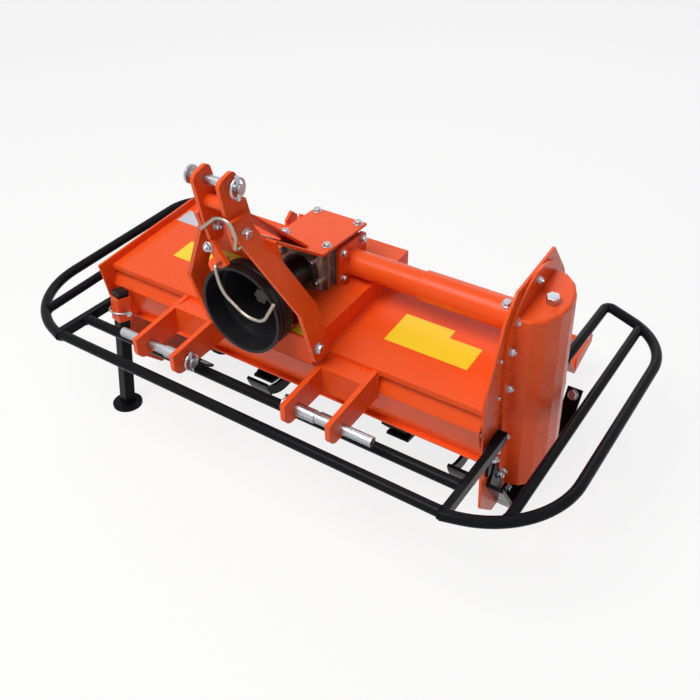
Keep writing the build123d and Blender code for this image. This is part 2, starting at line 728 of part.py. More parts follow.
def tine_edge(side):
    """Front or rear edge of a shank, which trails more and more towards the tip."""
    reach = ROTOR_R - TINE_T / 2 - TINE_ROOT_R
    points = []
    for share in (0.0, 0.35, 0.7, 1.0):
        radius = TINE_ROOT_R + reach * share
        spread = math.degrees(math.asin(TINE_W / 2 / radius))
        points.append(polar(radius, TINE_SWEEP * share ** 2 + side * spread))
    return points


def tine():
    """Blade on the +X face of a disc at x = 0: a curved shank, its tip bent sideways on the tip circle."""
    front = Spline(*tine_edge(-1))
    rear = Spline(*tine_edge(1)[::-1])
    shank = make_face([front, Line(front @ 1, rear @ 0), rear, Line(rear @ 1, front @ 0)])
    spread = math.degrees(math.asin(TINE_W / 2 / ROTOR_R))
    wedge = outline_face([
        (0.0, 0.0), polar(2 * ROTOR_R, TINE_SWEEP - spread), polar(2 * ROTOR_R, TINE_SWEEP + spread),
    ])
    tip = (Circle(ROTOR_R) - Circle(ROTOR_R - TINE_T)) & wedge
    root = DISC_T / 2
    return along_x(shank, root, root + TINE_T) + along_x(tip, root, root + TINE_REACH)


def tines():
    blades = []
    blade = tine()
    for i, x in enumerate(disc_places()):
        for j in range(TINES_PER_SIDE):
            turn = 360 / TINES_PER_SIDE * j + 360 / TINES_PER_SIDE / DISC_COUNT * i
            blades.append(Pos(x, ROTOR_Y, ROTOR_Z) * Rot(X=turn) * blade)
            other = turn + 180 / TINES_PER_SIDE
            blades.append(Pos(x, ROTOR_Y, ROTOR_Z) * Rot(X=other) * mirror(blade, about=Plane.YZ))
    return Compound(children=blades)


def rotor_bearing():
    """Round bearing housing outside the left side plate."""
    end = -PLATE_OUT - BEARING_BOSS_L
    housing = rod_x(BEARING_R, ROTOR_Y, ROTOR_Z, -PLATE_OUT - BEARING_T, -PLATE_OUT)
    housing += rod_x(BEARING_BOSS_R, ROTOR_Y, ROTOR_Z, end, -PLATE_OUT)
    return housing - rod_x(JOURNAL_R + RUN_FIT, ROTOR_Y, ROTOR_Z, end + SHAFT_ROOM / 2, -PLATE_OUT)


def rotor_seat():
    """Bearing ring inside the drive-side plate."""
    ring = rod_x(BEARING_R, ROTOR_Y, ROTOR_Z, PLATE_IN - BEARING_T, PLATE_IN)
    return ring - rod_x(JOURNAL_R + RUN_FIT, ROTOR_Y, ROTOR_Z, PLATE_IN - BEARING_T, PLATE_IN)


# Mast

def mast_elbow():
    return (MAST_ELBOW_Y, MAST_TOP_Z - MAST_ELBOW_DROP)


def mast_plate(side):
    top = (MAST_TOP_Y, MAST_TOP_Z)
    nose = (MAST_NOSE_Y, MAST_TOP_Z - MAST_NOSE_DROP)
    foot_z = MAST_TOP_Z - MAST_FOOT_DROP
    face = outline_face([
        top,
        nose,
        (MAST_WAIST_Y, MAST_TOP_Z - MAST_WAIST_DROP),
        (MAST_FOOT_Y, foot_z),
        (MAST_FOOT_Y + MAST_FOOT_W, foot_z),
        mast_elbow(),
    ])
    face = rounded(rounded(face, top, MAST_TOP_ROUND), nose, MAST_TOP_ROUND)
    face -= Pos(TOP_PIN_Y, MAST_TOP_Z - TOP_PIN_DROP) * Circle(TOP_PIN_R + PIN_FIT)
    return half(along_x(face, MAST_X - MAST_T / 2, MAST_X + MAST_T / 2), side)


def mast_brace(cover):
    """Strip on the mast plates' rear edges, bent at the elbow and led down to the cover."""
    elbow_y, elbow_z = mast_elbow()
    low_y = elbow_y + (elbow_z - BOX_TOP_Z) / math.tan(math.radians(BRACE_PITCH))
    high_share = (MAST_ELBOW_DROP - BRACE_TOP_DROP) / MAST_ELBOW_DROP
    high_y = elbow_y + (MAST_TOP_Y - elbow_y) * high_share
    line = [(low_y, BOX_TOP_Z), mast_elbow(), (high_y, MAST_TOP_Z - BRACE_TOP_DROP)]
    reach = MAST_X + MAST_T / 2
    strip = along_x(bent_sheet(line, BRACE_T), -reach, reach) - cover
    return strip.solids().sort_by(SortBy.VOLUME)[-1]


def mast_tie(cover):
    """Cross plate on the legs' rear edges, arched over the shield."""
    line = []
    for z in (MAST_TOP_Z - TIE_FOOT_DROP, MAST_TOP_Z - TIE_TOP_DROP):
        line.append((leg_front_y(z) + LEG_W, z))
    plate = along_x(bent_sheet(line, TIE_T), -TIE_HALF, TIE_HALF) - cover
    plate -= rod_y(SHIELD_RIM_R + TIE_ARCH_ROOM, 0, DRIVE_Z, SHIELD_RIM_Y, BOX_FRONT_Y)
    return plate.solids().sort_by(SortBy.VOLUME)[-1]


def mast_leg(side):
    """Flat bar from the bridge's side up to the mast, leaning forward as it rises."""
    front = outline_face([
        (LEG_OUT, LEG_FOOT_Z), (LEG_OUT, LEG_BEND_Z), (LEG_TAB_X, LEG_TAB_Z), (LEG_TAB_X, LEG_TOP_Z),
        (LEG_TAB_X - LEG_T, LEG_TOP_Z), (LEG_TAB_X - LEG_T, LEG_TAB_Z),
        (LEG_OUT - LEG_T, LEG_BEND_Z), (LEG_OUT - LEG_T, LEG_FOOT_Z),
    ])
    edge = outline_face([
        (LEG_FOOT_FRONT_Y, LEG_FOOT_Z),
        (LEG_FOOT_FRONT_Y + LEG_W, LEG_FOOT_Z),
        (leg_front_y(LEG_TOP_Z) + LEG_W, LEG_TOP_Z),
        (leg_front_y(LEG_TOP_Z), LEG_TOP_Z),
    ])
    bar = along_y(front, leg_front_y(LEG_TOP_Z), LEG_FOOT_FRONT_Y + LEG_W)
    return half(bar & along_x(edge, 0, LEG_OUT), side)


def mast_spacer():
    gap = MAST_X - MAST_T / 2
    return rod_x(SPACER_R, TOP_PIN_Y, MAST_TOP_Z - SPACER_DROP, -gap, gap)


def clip(x, y, z, pin_radius):
    """Linch pin: an upright shank through a pin and a wire ring round the pin's end."""
    shank = Pos(x, y, z) * Cylinder(CLIP_R, 2 * (pin_radius + 3 * CLIP_R))
    ring = Pos(x, y, z) * Rot(Y=90) * Torus(CLIP_RING_R, CLIP_WIRE_R)
    return shank + ring


def top_pin(clip_shape):
    z = MAST_TOP_Z - TOP_PIN_DROP
    pin = rod_x(TOP_PIN_R, TOP_PIN_Y, z, -TOP_PIN_HALF, TOP_PIN_HALF)
    head = rod_x(TOP_PIN_HEAD_R, TOP_PIN_Y, z, -TOP_PIN_HALF - TOP_PIN_HEAD_T, -TOP_PIN_HALF)
    return pin + head - clip_shape


def lower_pin(side, clip_shape):
    shoulder = EAR_OUTER_X + EAR_T / 2
    pin = rod_x(HITCH_SHANK_R, HITCH_Y, HITCH_Z, HITCH_INNER_X, shoulder)
    pin += rod_x(HITCH_PIN_R, HITCH_Y, HITCH_Z, shoulder, HITCH_OUTER_X)
    pin += rod_x(HITCH_SLEEVE_R, HITCH_Y, HITCH_Z, EAR_INNER_X + EAR_T / 2, HITCH_SLEEVE_END)
    return half(pin, side) - clip_shape


# Rest hook

def leg_front_y(z):
    return LEG_FOOT_FRONT_Y - (z - LEG_FOOT_Z) * LEG_LEAN


def leg_middle_x(z):
    """Middle of a leg's thickness at a height above its bend."""
    spread = (LEG_OUT - LEG_TAB_X) / (LEG_TAB_Z - LEG_BEND_Z)
    return LEG_TAB_X - LEG_T / 2 + max(LEG_TAB_Z - z, 0.0) * spread


def shaft_arch(neighbours):
    """Wire arch from the left mast plate's front edge over to the right leg's."""
    left_z = MAST_TOP_Z - ARCH_LEFT_DROP
    top_z = MAST_TOP_Z - ARCH_TOP_DROP
    right_z = MAST_TOP_Z - ARCH_RIGHT_DROP
    right_x = leg_middle_x(right_z)
    path = FilletPolyline(
        (-MAST_X, MAST_FOOT_Y, left_z),
        (-MAST_X, HOOK_Y, left_z),
        (ARCH_RISE_X, HOOK_Y, top_z),
        (ARCH_FALL_X, HOOK_Y, top_z),
        (ARCH_SIDE_X, HOOK_Y, MAST_TOP_Z - ARCH_SIDE_DROP),
        (right_x, HOOK_Y, right_z),
        (right_x, leg_front_y(right_z) + LEG_W / 4, right_z),
        radius=[2 * HOOK_ROD_R, ARCH_RISE_BEND, ARCH_FALL_BEND, ARCH_FALL_BEND, 2 * HOOK_ROD_R],
    )
    arch = tube_along(path, HOOK_ROD_R)
    for neighbour in neighbours:
        arch -= neighbour
    return arch.solids().sort_by(SortBy.VOLUME)[-1]


def shaft_hook():
    """Wire hook that holds up the tractor's drive shaft, hung from its eye in the strap."""
    eye_z = MAST_TOP_Z - HOOK_EYE_DROP
    path = FilletPolyline(
        (HOOK_EYE_X, HOOK_Y + HOOK_EYE_L, eye_z),
        (HOOK_EYE_X, HOOK_Y, eye_z),
        (HOOK_KNEE_X, HOOK_Y, MAST_TOP_Z - HOOK_KNEE_DROP),
        (HOOK_LOW_X, HOOK_Y, MAST_TOP_Z - HOOK_LOW_DROP),
        (HOOK_TURN_X, HOOK_Y, MAST_TOP_Z - HOOK_TURN_DROP),
        (HOOK_TIP_X, HOOK_Y, MAST_TOP_Z - HOOK_TIP_DROP),
        radius=[2 * HOOK_ROD_R, HOOK_BEND, HOOK_BEND, HOOK_TIP_BEND],
    )
    return tube_along(path, HOOK_ROD_R)


def hook_strap(neighbours):
    """Flat strap from the left mast plate's foot to the hook's eye."""
    high = Vector(-MAST_X, MAST_TOP_Z - STRAP_END_DROP)
    low = Vector(HOOK_EYE_X, MAST_TOP_Z - HOOK_EYE_DROP)
    down = (low - high).normalized()
    across = Vector(-down.Y, down.X) * (STRAP_H / 2)
    end = low + down * (STRAP_H / 2)
    face = outline_face([(p.X, p.Y) for p in (high + across, high - across, end - across, end + across)])
    face -= Pos(low.X, low.Y) * Circle(HOOK_ROD_R + PIN_FIT)
    rear = MAST_FOOT_Y + STRAP_T / 2
    strap = along_y(face, rear - STRAP_T, rear)
    for neighbour in neighbours:
        strap -= neighbour
    return strap.solids().sort_by(SortBy.VOLUME)[-1]


# Parking stand

def stand_leg():
    leg = Pos(0, 0, STAND_TOP / 2) * Box(STAND_SQ, STAND_SQ, STAND_TOP)
    foot = Pos(STAND_X, STAND_Y, 0) * extrude(Circle(STAND_FOOT_R), STAND_FOOT_T)
    floor = block(-WORK_WIDTH, WORK_WIDTH, -WORK_WIDTH, WORK_WIDTH, -STAND_SQ * 2, 0)
    return on_stand(leg) + foot - floor


def stand_cap():
    return on_stand(Pos(0, 0, STAND_TOP + CAP_T / 2) * Box(CAP_SQ, CAP_SQ, CAP_T))


def stand_socket(beam):
    """Square sleeve for the leg, with a cheek welded to the front beam's fold."""
    height = SOCKET_TOP - SOCKET_FOOT
    inside = STAND_SQ + 2 * SOCKET_FIT
    sleeve = on_stand(Pos(0, 0, SOCKET_FOOT) * extrude(Rectangle(SOCKET_SQ, SOCKET_SQ), height))
    cheek = Pos(0, SOCKET_CHEEK_L / 2, SOCKET_FOOT + height / 2) * Box(SOCKET_CHEEK_T, SOCKET_CHEEK_L, height)
    room = along_x(beam_room(), STAND_X - SOCKET_SQ, STAND_X + SOCKET_SQ)
    socket = sleeve + (leaning(cheek) - room - beam)
    socket -= on_stand(Pos(0, 0, SOCKET_FOOT) * extrude(Rectangle(inside, inside), height))
    socket -= on_stand(Pos(0, 0, LOCK_AT) * Rot(Y=90) * Cylinder(LOCK_R + PIN_FIT, 2 * SOCKET_SQ))
    return socket.solids().sort_by(SortBy.VOLUME)[-1]


def lock_pin():
    """Wire ring round the socket's front, with a stub in each wall and a head on one side."""
    inner = STAND_SQ / 2 + 2 * SOCKET_FIT
    outer = LOCK_RING_R + LOCK_R
    ring = ThreePointArc((-LOCK_RING_R, 0, LOCK_AT), (0, -LOCK_RING_R, LOCK_AT), (LOCK_RING_R, 0, LOCK_AT))
    pin = tube_along(ring, LOCK_WIRE_R)
    for side in SIDES.values():
        pin += Pos(side * (inner + outer) / 2, 0, LOCK_AT) * Rot(Y=90) * Cylinder(LOCK_R, outer - inner)
    pin += Pos(outer + LOCK_HEAD_T / 2, 0, LOCK_AT) * Rot(Y=90) * Cylinder(LOCK_HEAD_R, LOCK_HEAD_T)
    return on_stand(pin)


# Safety guard

def loop_path(name):
    """Plan of a loop as on the drive side, from the front rail round to its return tube."""
    start_x = GUARD_IN + GUARD_START
    start_y = GUARD_FRONT_Y - GUARD_R / 2
    front_y = start_y + (GUARD_SIDE_X - start_x) * GUARD_FRONT_FALL
    corner_y = GUARD_REAR_Y[name]
    rear_y = corner_y - (GUARD_SIDE_X - GUARD_LINE_X) * GUARD_REAR_FALL[name]
    return FilletPolyline(
        (start_x, start_y, GUARD_Z),
        (GUARD_SIDE_X, front_y, GUARD_Z),
        (GUARD_SIDE_X, rear_y, GUARD_Z),
        (GUARD_LINE_X, corner_y, GUARD_Z),
        (GUARD_LINE_X, GUARD_RETURN_Y, GUARD_Z),
        radius=[GUARD_FRONT_BEND, GUARD_REAR_BEND[name], GUARD_CORNER_BEND],
    )


def guard_side(name, side):
    """Guard pieces of one side: loop, cross tube, inner bar and their two brackets."""
    raised = Pos(0, GUARD_FRONT_Y, GUARD_Z) * Rot(X=GUARD_TILT[name]) * Pos(0, -GUARD_FRONT_Y, -GUARD_Z)
    top = GUARD_Z + GUARD_R
    flat_loop = tube_along(loop_path(name), GUARD_R)
    bar_end = GUARD_REAR_Y[name] + 2 * GUARD_R
    bar = rod_y(GUARD_BAR_R, GUARD_BAR_X, GUARD_Z, GUARD_FRONT_Y - 2 * GUARD_R, bar_end) - flat_loop
    rear = block(
        PLATE_OUT, GUARD_IN, GUARD_RETURN_Y - GUARD_BRACKET_W / 4,
        GUARD_RETURN_Y + GUARD_BRACKET_W * 3 / 4, top - GUARD_BRACKET_W, top,
    )
    loop = raised * flat_loop
    cross_end = flange_front_y(top) - GUARD_FLANGE_GAP
    cross = block(GUARD_IN, GUARD_IN + GUARD_CROSS_W, GUARD_FRONT_Y, cross_end, GUARD_Z - GUARD_R, top) - loop
    front = block(PLATE_OUT, GUARD_IN, cross_end - GUARD_BRACKET_W, cross_end, top - GUARD_BRACKET_H, top)
    pieces = {
        "loop": loop,
        "cross": cross.solids().sort_by(SortBy.VOLUME)[-1],
        "bar": raised * bar.solids().sort_by(SortBy.VOLUME)[-1],
        "bracket_front": front,
        "bracket_rear": raised * rear,
    }
    return {piece: half(shape, side) for piece, shape in pieces.items()}


def guard_rail(y, loops):
    """Straight rail between the cross tubes, clear of both loops."""
    rail = rod_x(GUARD_R, y, GUARD_Z, -GUARD_IN, GUARD_IN)
    for loop in loops:
        rail -= loop
    return rail


# Skids

def skid(side):
    """Runner under a side plate, turned up at both ends, with a bolting flange."""
    line = [
        (SKID_REAR_Y + SKID_REAR_RUN, SKID_REAR_RISE),
        (SKID_REAR_Y, 0.0),
        (SKID_FRONT_Y, 0.0),
        (SKID_FRONT_Y - SKID_FRONT_RUN, SKID_FRONT_RISE),
    ]
    sole = along_x(bent_sheet(line, SKID_T), PLATE_OUT, PLATE_OUT + SKID_W)
    pad = block(PLATE_IN, PLATE_OUT, SKID_FRONT_Y, SKID_REAR_Y, 0, PLATE_BOTTOM)
    flange = block(PLATE_OUT, PLATE_OUT + SKID_FLANGE_T, SKID_FRONT_Y, SKID_REAR_Y, 0, SKID_FLANGE_H)
    return half(sole + pad + flange, side)


# Rear flap

def hinge_rod():
    return rod_x(HINGE_R, HINGE_Y, HINGE_Z, -PLATE_OUT, PLATE_OUT)


def rear_flap():
    """Folded sheet on three knuckles, with a low cheek at each end of its upturned lip."""
    reach = PLATE_IN - FLAP_SIDE_GAP
    flap = along_x(bent_sheet(flap_line(), FLAP_T), -reach, reach)
    span = (2 * reach - KNUCKLE_L) / (KNUCKLE_COUNT - 1)
    for i in range(KNUCKLE_COUNT):
        start = -reach + i * span
        flap += rod_x(KNUCKLE_R, HINGE_Y, HINGE_Z, start, start + KNUCKLE_L)
    cheek = outline_face(flap_line()[1:] + [(FLAP_TIP_Y, FLAP_TIP_Z + FLAP_END_H / 2),
                                            (FLAP_BEND_Y, FLAP_BEND_Z + FLAP_END_H)])
    for start in (-reach, reach - FLAP_T):
        flap += along_x(cheek, start, start + FLAP_T)
    return flap - rod_x(HINGE_R + HINGE_FIT, HINGE_Y, HINGE_Z, -PLATE_IN, PLATE_IN)


def flap_lug():
    """Two upright ears on the hood for the flap's chain."""
    rear_y = LUG_FRONT_Y + LUG_L
    top = hood_z(LUG_FRONT_Y) + LUG_H
    face = outline_face([
        (LUG_FRONT_Y, hood_z(LUG_FRONT_Y)), (rear_y, hood_z(rear_y)),
        (rear_y, top - LUG_H / 4), (LUG_FRONT_Y + LUG_L / 2, top), (LUG_FRONT_Y, top - LUG_H / 4),
    ])
    near = LUG_X - LUG_GAP / 2
    far = LUG_X + LUG_GAP / 2
    foot = outline_face([
        (LUG_FRONT_Y, hood_z(LUG_FRONT_Y)), (rear_y, hood_z(rear_y)),
        (rear_y, hood_z(rear_y) + LUG_T), (LUG_FRONT_Y, hood_z(LUG_FRONT_Y) + LUG_T),
    ])
    return along_x(face, near - LUG_T, near) + along_x(face, far, far + LUG_T) + along_x(foot, near, far)


def build():
    pieces = {}
    hood = hood_top()
    beam = front_beam(hood)
    pieces["hood_top"] = hood
    pieces["front_beam"] = beam
    brackets = []
    legs = []
    loops = []
    for name, side in SIDES.items():
        pieces[f"side_plate_{name}"] = side_plate(side)
        bracket = hitch_bracket(side, beam, hood)
        brackets.append(bracket)
        pieces[f"hitch_bracket_{name}"] = bracket
        linch = clip(side * (HITCH_INNER_X + CLIP_INSET), HITCH_Y, HITCH_Z, HITCH_PIN_R)
        pieces[f"linch_pin_{name}"] = linch
        pieces[f"lower_pin_{name}"] = lower_pin(side, linch)
        pieces[f"mast_plate_{name}"] = mast_plate(side)
        leg = mast_leg(side)
        legs.append(leg)
        pieces[f"mast_leg_{name}"] = leg
        pieces[f"skid_{name}"] = skid(side)
        guard = guard_side(name, side)
        loops.append(guard["loop"])
        for piece, shape in guard.items():
            pieces[f"guard_{piece}_{name}"] = shape
    pieces["gearbox_bridge"] = gearbox_bridge(brackets)
    pieces["gearbox_housing"] = gearbox_housing()
    cover = gearbox_cover()
    pieces["gearbox_cover"] = cover
    pieces["gearbox_end_plate"] = square_flange(BOX_LEFT_X - FLANGE_T)
    pieces["drive_tube"] = drive_tube()
    pieces["pto_shield"] = pto_shield()
    pieces["input_shaft"] = input_shaft()
    pieces["chain_case"] = chain_case()
    pieces["chain_case_flange"] = chain_case_flange()
    pieces["filler_plug"] = filler_plug()
    pieces["rotor_shaft"] = rotor_shaft()
    pieces["tines"] = tines()
    pieces["rotor_bearing"] = rotor_bearing()
    pieces["rotor_seat"] = rotor_seat()
    top_clip = clip(TOP_PIN_HALF - CLIP_INSET, TOP_PIN_Y, MAST_TOP_Z - TOP_PIN_DROP, TOP_PIN_R)
    pieces["top_linch_pin"] = top_clip
    pieces["top_pin"] = top_pin(top_clip)
    pieces["mast_spacer"] = mast_spacer()
    pieces["mast_tie"] = mast_tie(cover)
    pieces["mast_brace"] = mast_brace(cover)
    hook_carriers = legs + [pieces["mast_plate_left"]]
    pieces["shaft_arch"] = shaft_arch(hook_carriers)
    pieces["shaft_hook"] = shaft_hook()
    pieces["hook_strap"] = hook_strap(hook_carriers)
    pieces["stand_leg"] = stand_leg()
    pieces["stand_cap"] = stand_cap()
    pieces["stand_socket"] = stand_socket(beam)
    pieces["stand_lock_pin"] = lock_pin()
    pieces["guard_rail_front"] = guard_rail(GUARD_FRONT_Y, loops)
    pieces["guard_rail_inner"] = guard_rail(GUARD_INNER_Y, loops)
    pieces["flap_hinge_rod"] = hinge_rod()
    pieces["rear_flap"] = rear_flap()
    pieces["flap_lug"] = flap_lug()
    return pieces


os.makedirs("parts", exist_ok=True)
for node, solid in build().items():
    export_step(solid, f"parts/{node}.step")
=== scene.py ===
"""Finish for a tractor-mounted rotavator: paint, fixings, welds, blank plates and the stage.

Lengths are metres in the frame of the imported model: +X is the drive side, -Y the tractor side, +Z up.
"""

import json
import math
from typing import NamedTuple

import bmesh
import bpy
import numpy as np
from bpy.props import FloatProperty, FloatVectorProperty, IntProperty, PointerProperty
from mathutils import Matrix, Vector


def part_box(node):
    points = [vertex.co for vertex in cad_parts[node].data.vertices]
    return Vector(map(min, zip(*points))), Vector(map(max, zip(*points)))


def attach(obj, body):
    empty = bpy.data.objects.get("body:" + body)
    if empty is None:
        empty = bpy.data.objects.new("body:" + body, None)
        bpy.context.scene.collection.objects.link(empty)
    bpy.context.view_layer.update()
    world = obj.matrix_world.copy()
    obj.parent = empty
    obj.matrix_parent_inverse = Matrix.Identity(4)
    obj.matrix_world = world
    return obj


bl_info = {
    "name": "Rotavator Finish",
    "version": (1, 0, 0),
    "blender": (4, 5, 0),
    "location": "View3D > Sidebar > Rotavator",
    "description": "Paints a rotavator and adds its fixings, welds, blank plates and stage",
    "category": "Object",
}

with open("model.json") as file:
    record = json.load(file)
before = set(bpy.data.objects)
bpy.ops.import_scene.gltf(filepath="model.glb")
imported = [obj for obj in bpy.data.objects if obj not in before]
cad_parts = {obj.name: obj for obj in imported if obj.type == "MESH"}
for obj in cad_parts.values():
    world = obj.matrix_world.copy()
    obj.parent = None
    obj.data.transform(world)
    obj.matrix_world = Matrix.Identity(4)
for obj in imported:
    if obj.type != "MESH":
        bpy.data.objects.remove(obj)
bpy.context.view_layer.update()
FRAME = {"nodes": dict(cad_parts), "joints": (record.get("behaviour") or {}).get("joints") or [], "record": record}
SIDES = {"left": -1, "right": 1}
RIGHT, REAR, UP = np.eye(3)
NEAR = 1e-4  # places closer than this count as one

# Places that the frame gives

NODES = FRAME["nodes"]
SLOT_OF = {row["node"]: row["material_slot"] for row in FRAME["record"]["subparts"]}
JOINT = {joint["name"]: joint for joint in FRAME["joints"]}
ROTOR_AXIS = np.array(JOINT["rotor_spin"]["pos_m"])
SHAFT_AXIS = np.array(JOINT["input_spin"]["pos_m"])
HINGE_AXIS = np.array(JOINT["flap_swing"]["pos_m"])


def corners(node):
    """Lowest and highest corner of a node as arrays."""
    low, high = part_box(node)
    return np.array(low), np.array(high)


def outer_face(node, side):
    """Place x of a node's face that looks away from the middle."""
    return side * np.abs(corners(node)).max(axis=0)[0]


def inner_face(node, side):
    """Place x of a node's face that looks towards the middle."""
    return side * np.abs(corners(node)).min(axis=0)[0]


def at_x(place, x):
    """A place moved to another x."""
    return np.array([x, place[1], place[2]])


def vertices(node):
    """All the points of a node as one array, with doubles left out."""
    mesh = NODES[node].data
    flat = np.zeros(len(mesh.vertices) * 3, np.float32)
    mesh.vertices.foreach_get("co", flat)
    return np.unique(np.round(flat.reshape(-1, 3).astype(float), 6), axis=0)


def levels(values, digits=5):
    """The different values of an array, in order."""
    return np.unique(np.round(values, digits))


def off_axis(points, axis):
    """Distance of points from the line along X through a place."""
    return np.hypot(points[:, 1] - axis[1], points[:, 2] - axis[2])


def top_plane(node):
    """Place and height of the front edge of a node's flat top, and its slope up to the ridge."""
    points = vertices(node)
    front = points[points[:, 1] < points[:, 1].min() + NEAR]
    edge = front[front[:, 2].argmax()]
    ridge = points[points[:, 2].argmax()]
    return edge[1], edge[2], (ridge[2] - edge[2]) / (ridge[1] - edge[1])


def tie_plane():
    """Foot height, foot place and slope of the front face of the mast's cross plate."""
    points = vertices("mast_tie")
    foot = points[points[:, 2].argmin()]
    head = points[points[:, 1].argmin()]
    return foot[2], foot[1], (head[1] - foot[1]) / (head[2] - foot[2])


HOOD = top_plane("hood_top")
BRIDGE = top_plane("gearbox_bridge")
TIE = tie_plane()
DRIVE_LOW, DRIVE_HIGH = corners("drive_tube")
DRIVE_MIDDLE = (DRIVE_LOW + DRIVE_HIGH) / 2
DRIVE_MIDDLE[2] = SHAFT_AXIS[2]


def on_top(plane, x, y):
    """Points on a sloping top: z = edge height + slope (y - edge place)."""
    place, height, slope = plane
    x, y = np.broadcast_arrays(np.asarray(x, float), np.asarray(y, float))
    return np.stack([x, y, height + slope * (y - place)], axis=-1)


def on_tie(x, z):
    """Points on the cross plate's front: y = foot place + slope (z - foot height)."""
    height, place, slope = TIE
    x, z = np.broadcast_arrays(np.asarray(x, float), np.asarray(z, float))
    return np.stack([x, place + slope * (z - height), z], axis=-1)


# Settings


def length(name, description, default):
    """Setting in metres."""
    return FloatProperty(name=name, description=description, default=default, min=0, unit="LENGTH")


def angle(name, description, degrees):
    """Setting for an angle, its default given in degrees."""
    return FloatProperty(name=name, description=description, default=math.radians(degrees), subtype="ANGLE")


def paint_colour(name, description, default):
    """Setting for the colour of a finish."""
    return FloatVectorProperty(
        name=name, description=description, default=default, min=0, max=1, size=3, subtype="COLOR",
    )


def lamp_power(name, description, default):
    """Setting in watts."""
    return FloatProperty(name=name, description=description, default=default, min=0, unit="POWER")


def factor(name, description, default):
    """Setting from 0 to 1."""
    return FloatProperty(name=name, description=description, default=default, min=0, max=1, subtype="FACTOR")


class RotavatorPaint(bpy.types.PropertyGroup):
    """Colours and edge rounding of the painted and plated pieces."""

    orange: paint_colour("Orange enamel", "Body paint", (0.86, 0.092, 0.012))
    black: paint_colour("Black enamel", "Guard, stand and skid paint", (0.008, 0.009, 0.012))
    zinc: paint_colour("Zinc plating", "Pins, plugs and bolts", (0.47, 0.49, 0.53))
    steel: paint_colour("Oiled steel", "Splined input shaft", (0.085, 0.080, 0.074))
    wire: paint_colour("Plated wire", "Rest hook and arch", (0.38, 0.36, 0.30))
    plastic: paint_colour("Black plastic", "Shaft shield and stand cap", (0.009, 0.009, 0.011))
    casting: paint_colour("Casting", "Gearbox and bearing housings", (0.33, 0.30, 0.27))
    yellow: paint_colour("Yellow plate", "Blank yellow plates", (0.88, 0.66, 0.015))
    silver: paint_colour("Silver plate", "Blank silver plate", (0.56, 0.60, 0.68))
    edge: length("Edge rounding", "Round on sheared and cast edges", 0.0009)
    edge_steps: IntProperty(name="Edge steps", description="Faces across a rounded edge", default=2, min=1)
    fold: angle("Fold angle", "Least turn of an edge that is rounded over", 32)
    case_fold: angle("Case fold angle", "The same on the folded chain case", 15)


class RotavatorFixings(bpy.types.PropertyGroup):
    """Sizes of the standard bolt, of welds and of plates."""

    flat: length("Bolt flat", "Bolt axis to a flat of its head", 0.0078)
    head: length("Head height", "Height of a bolt head", 0.0068)
    washer: length("Washer radius", "Radius of a washer", 0.0112)
    washer_thickness: length("Washer thickness", "Thickness of a washer", 0.0020)
    inset: length("Bolt inset", "Bolt to the edges of a cover or flange", 0.0145)
    bead: length("Weld bead", "Half width of a weld bead", 0.0030)
    ripple: length("Weld ripple", "Length of one ripple of a weld", 0.0052)
    plate: length("Plate thickness", "Thickness of a blank plate", 0.0006)


class RotavatorStage(bpy.types.PropertyGroup):
    """Camera, lamps and floor."""

    azimuth: angle("Azimuth", "Camera round the machine from its front", 33.6)
    elevation: angle("Elevation", "Camera above the horizon", 36.3)
    distance: length("Distance", "Camera to the point that it looks at", 1.7683)
    target: FloatVectorProperty(
        name="Target", description="Point in the middle of the picture", subtype="XYZ", size=3,
        default=(0.1994, -0.2684, 0.400),
    )
    lens: FloatProperty(name="Lens", description="Focal length on the sensor, in millimetres", default=43.956)
    sensor: FloatProperty(name="Sensor", description="Sensor width, in millimetres", default=36.0)
    key: lamp_power("Key light", "Power of the key lamp", 118.0)
    fill: lamp_power("Fill light", "Power of the fill lamp", 3.0)
    back: lamp_power("Back light", "Power of the back lamp", 14.0)
    sky: factor("Sky", "Strength of the world's light", 0.34)
    shade: factor("Shade", "Share of the sky's light left on the drive side", 0.30)
    floor: length("Floor", "Half width of the floor", 40.0)
    floor_drop: length("Floor drop", "Floor below the skids, so that they don't share a face", 0.0005)
    floor_rows: IntProperty(name="Floor rows", description="Rows of points in the floor", default=9, min=2)
    floor_glow: factor("Floor glow", "Share of plain white in the floor", 0.82)


# Surfaces

CREASE = math.radians(35)  # sharper edges stay sharp on a smooth piece


def unit(vectors):
    """Vectors of length one in the same directions."""
    return vectors / np.linalg.norm(vectors, axis=-1, keepdims=True)


def full_turn(count):
    """Angles of so many even steps round a circle."""
    return np.arange(count) * 2 * np.pi / count


def ring(middle, radius, turn, first=REAR, second=UP):
    """Places round a middle: p = m + r cos t first + r sin t second."""
    return middle + radius * (np.outer(np.cos(turn), first) + np.outer(np.sin(turn), second))


def spread(x, y, z):
    """Every place with one of the x, one of the y and one of the z."""
    return np.stack(np.meshgrid(x, y, z, indexing="ij"), axis=-1).reshape(-1, 3)


def quads(rows, columns, wrap):
    """Corner numbers of the faces of a grid; with wrap the last column joins the first."""
    span = columns if wrap else columns - 1
    row, column = np.meshgrid(np.arange(rows - 1), np.arange(span), indexing="ij")
    after = (column + 1) % columns
    rings = [
        row * columns + column,
        row * columns + after,
        (row + 1) * columns + after,
        (row + 1) * columns + column,
    ]
    return np.stack(rings, axis=-1).reshape(-1, 4)


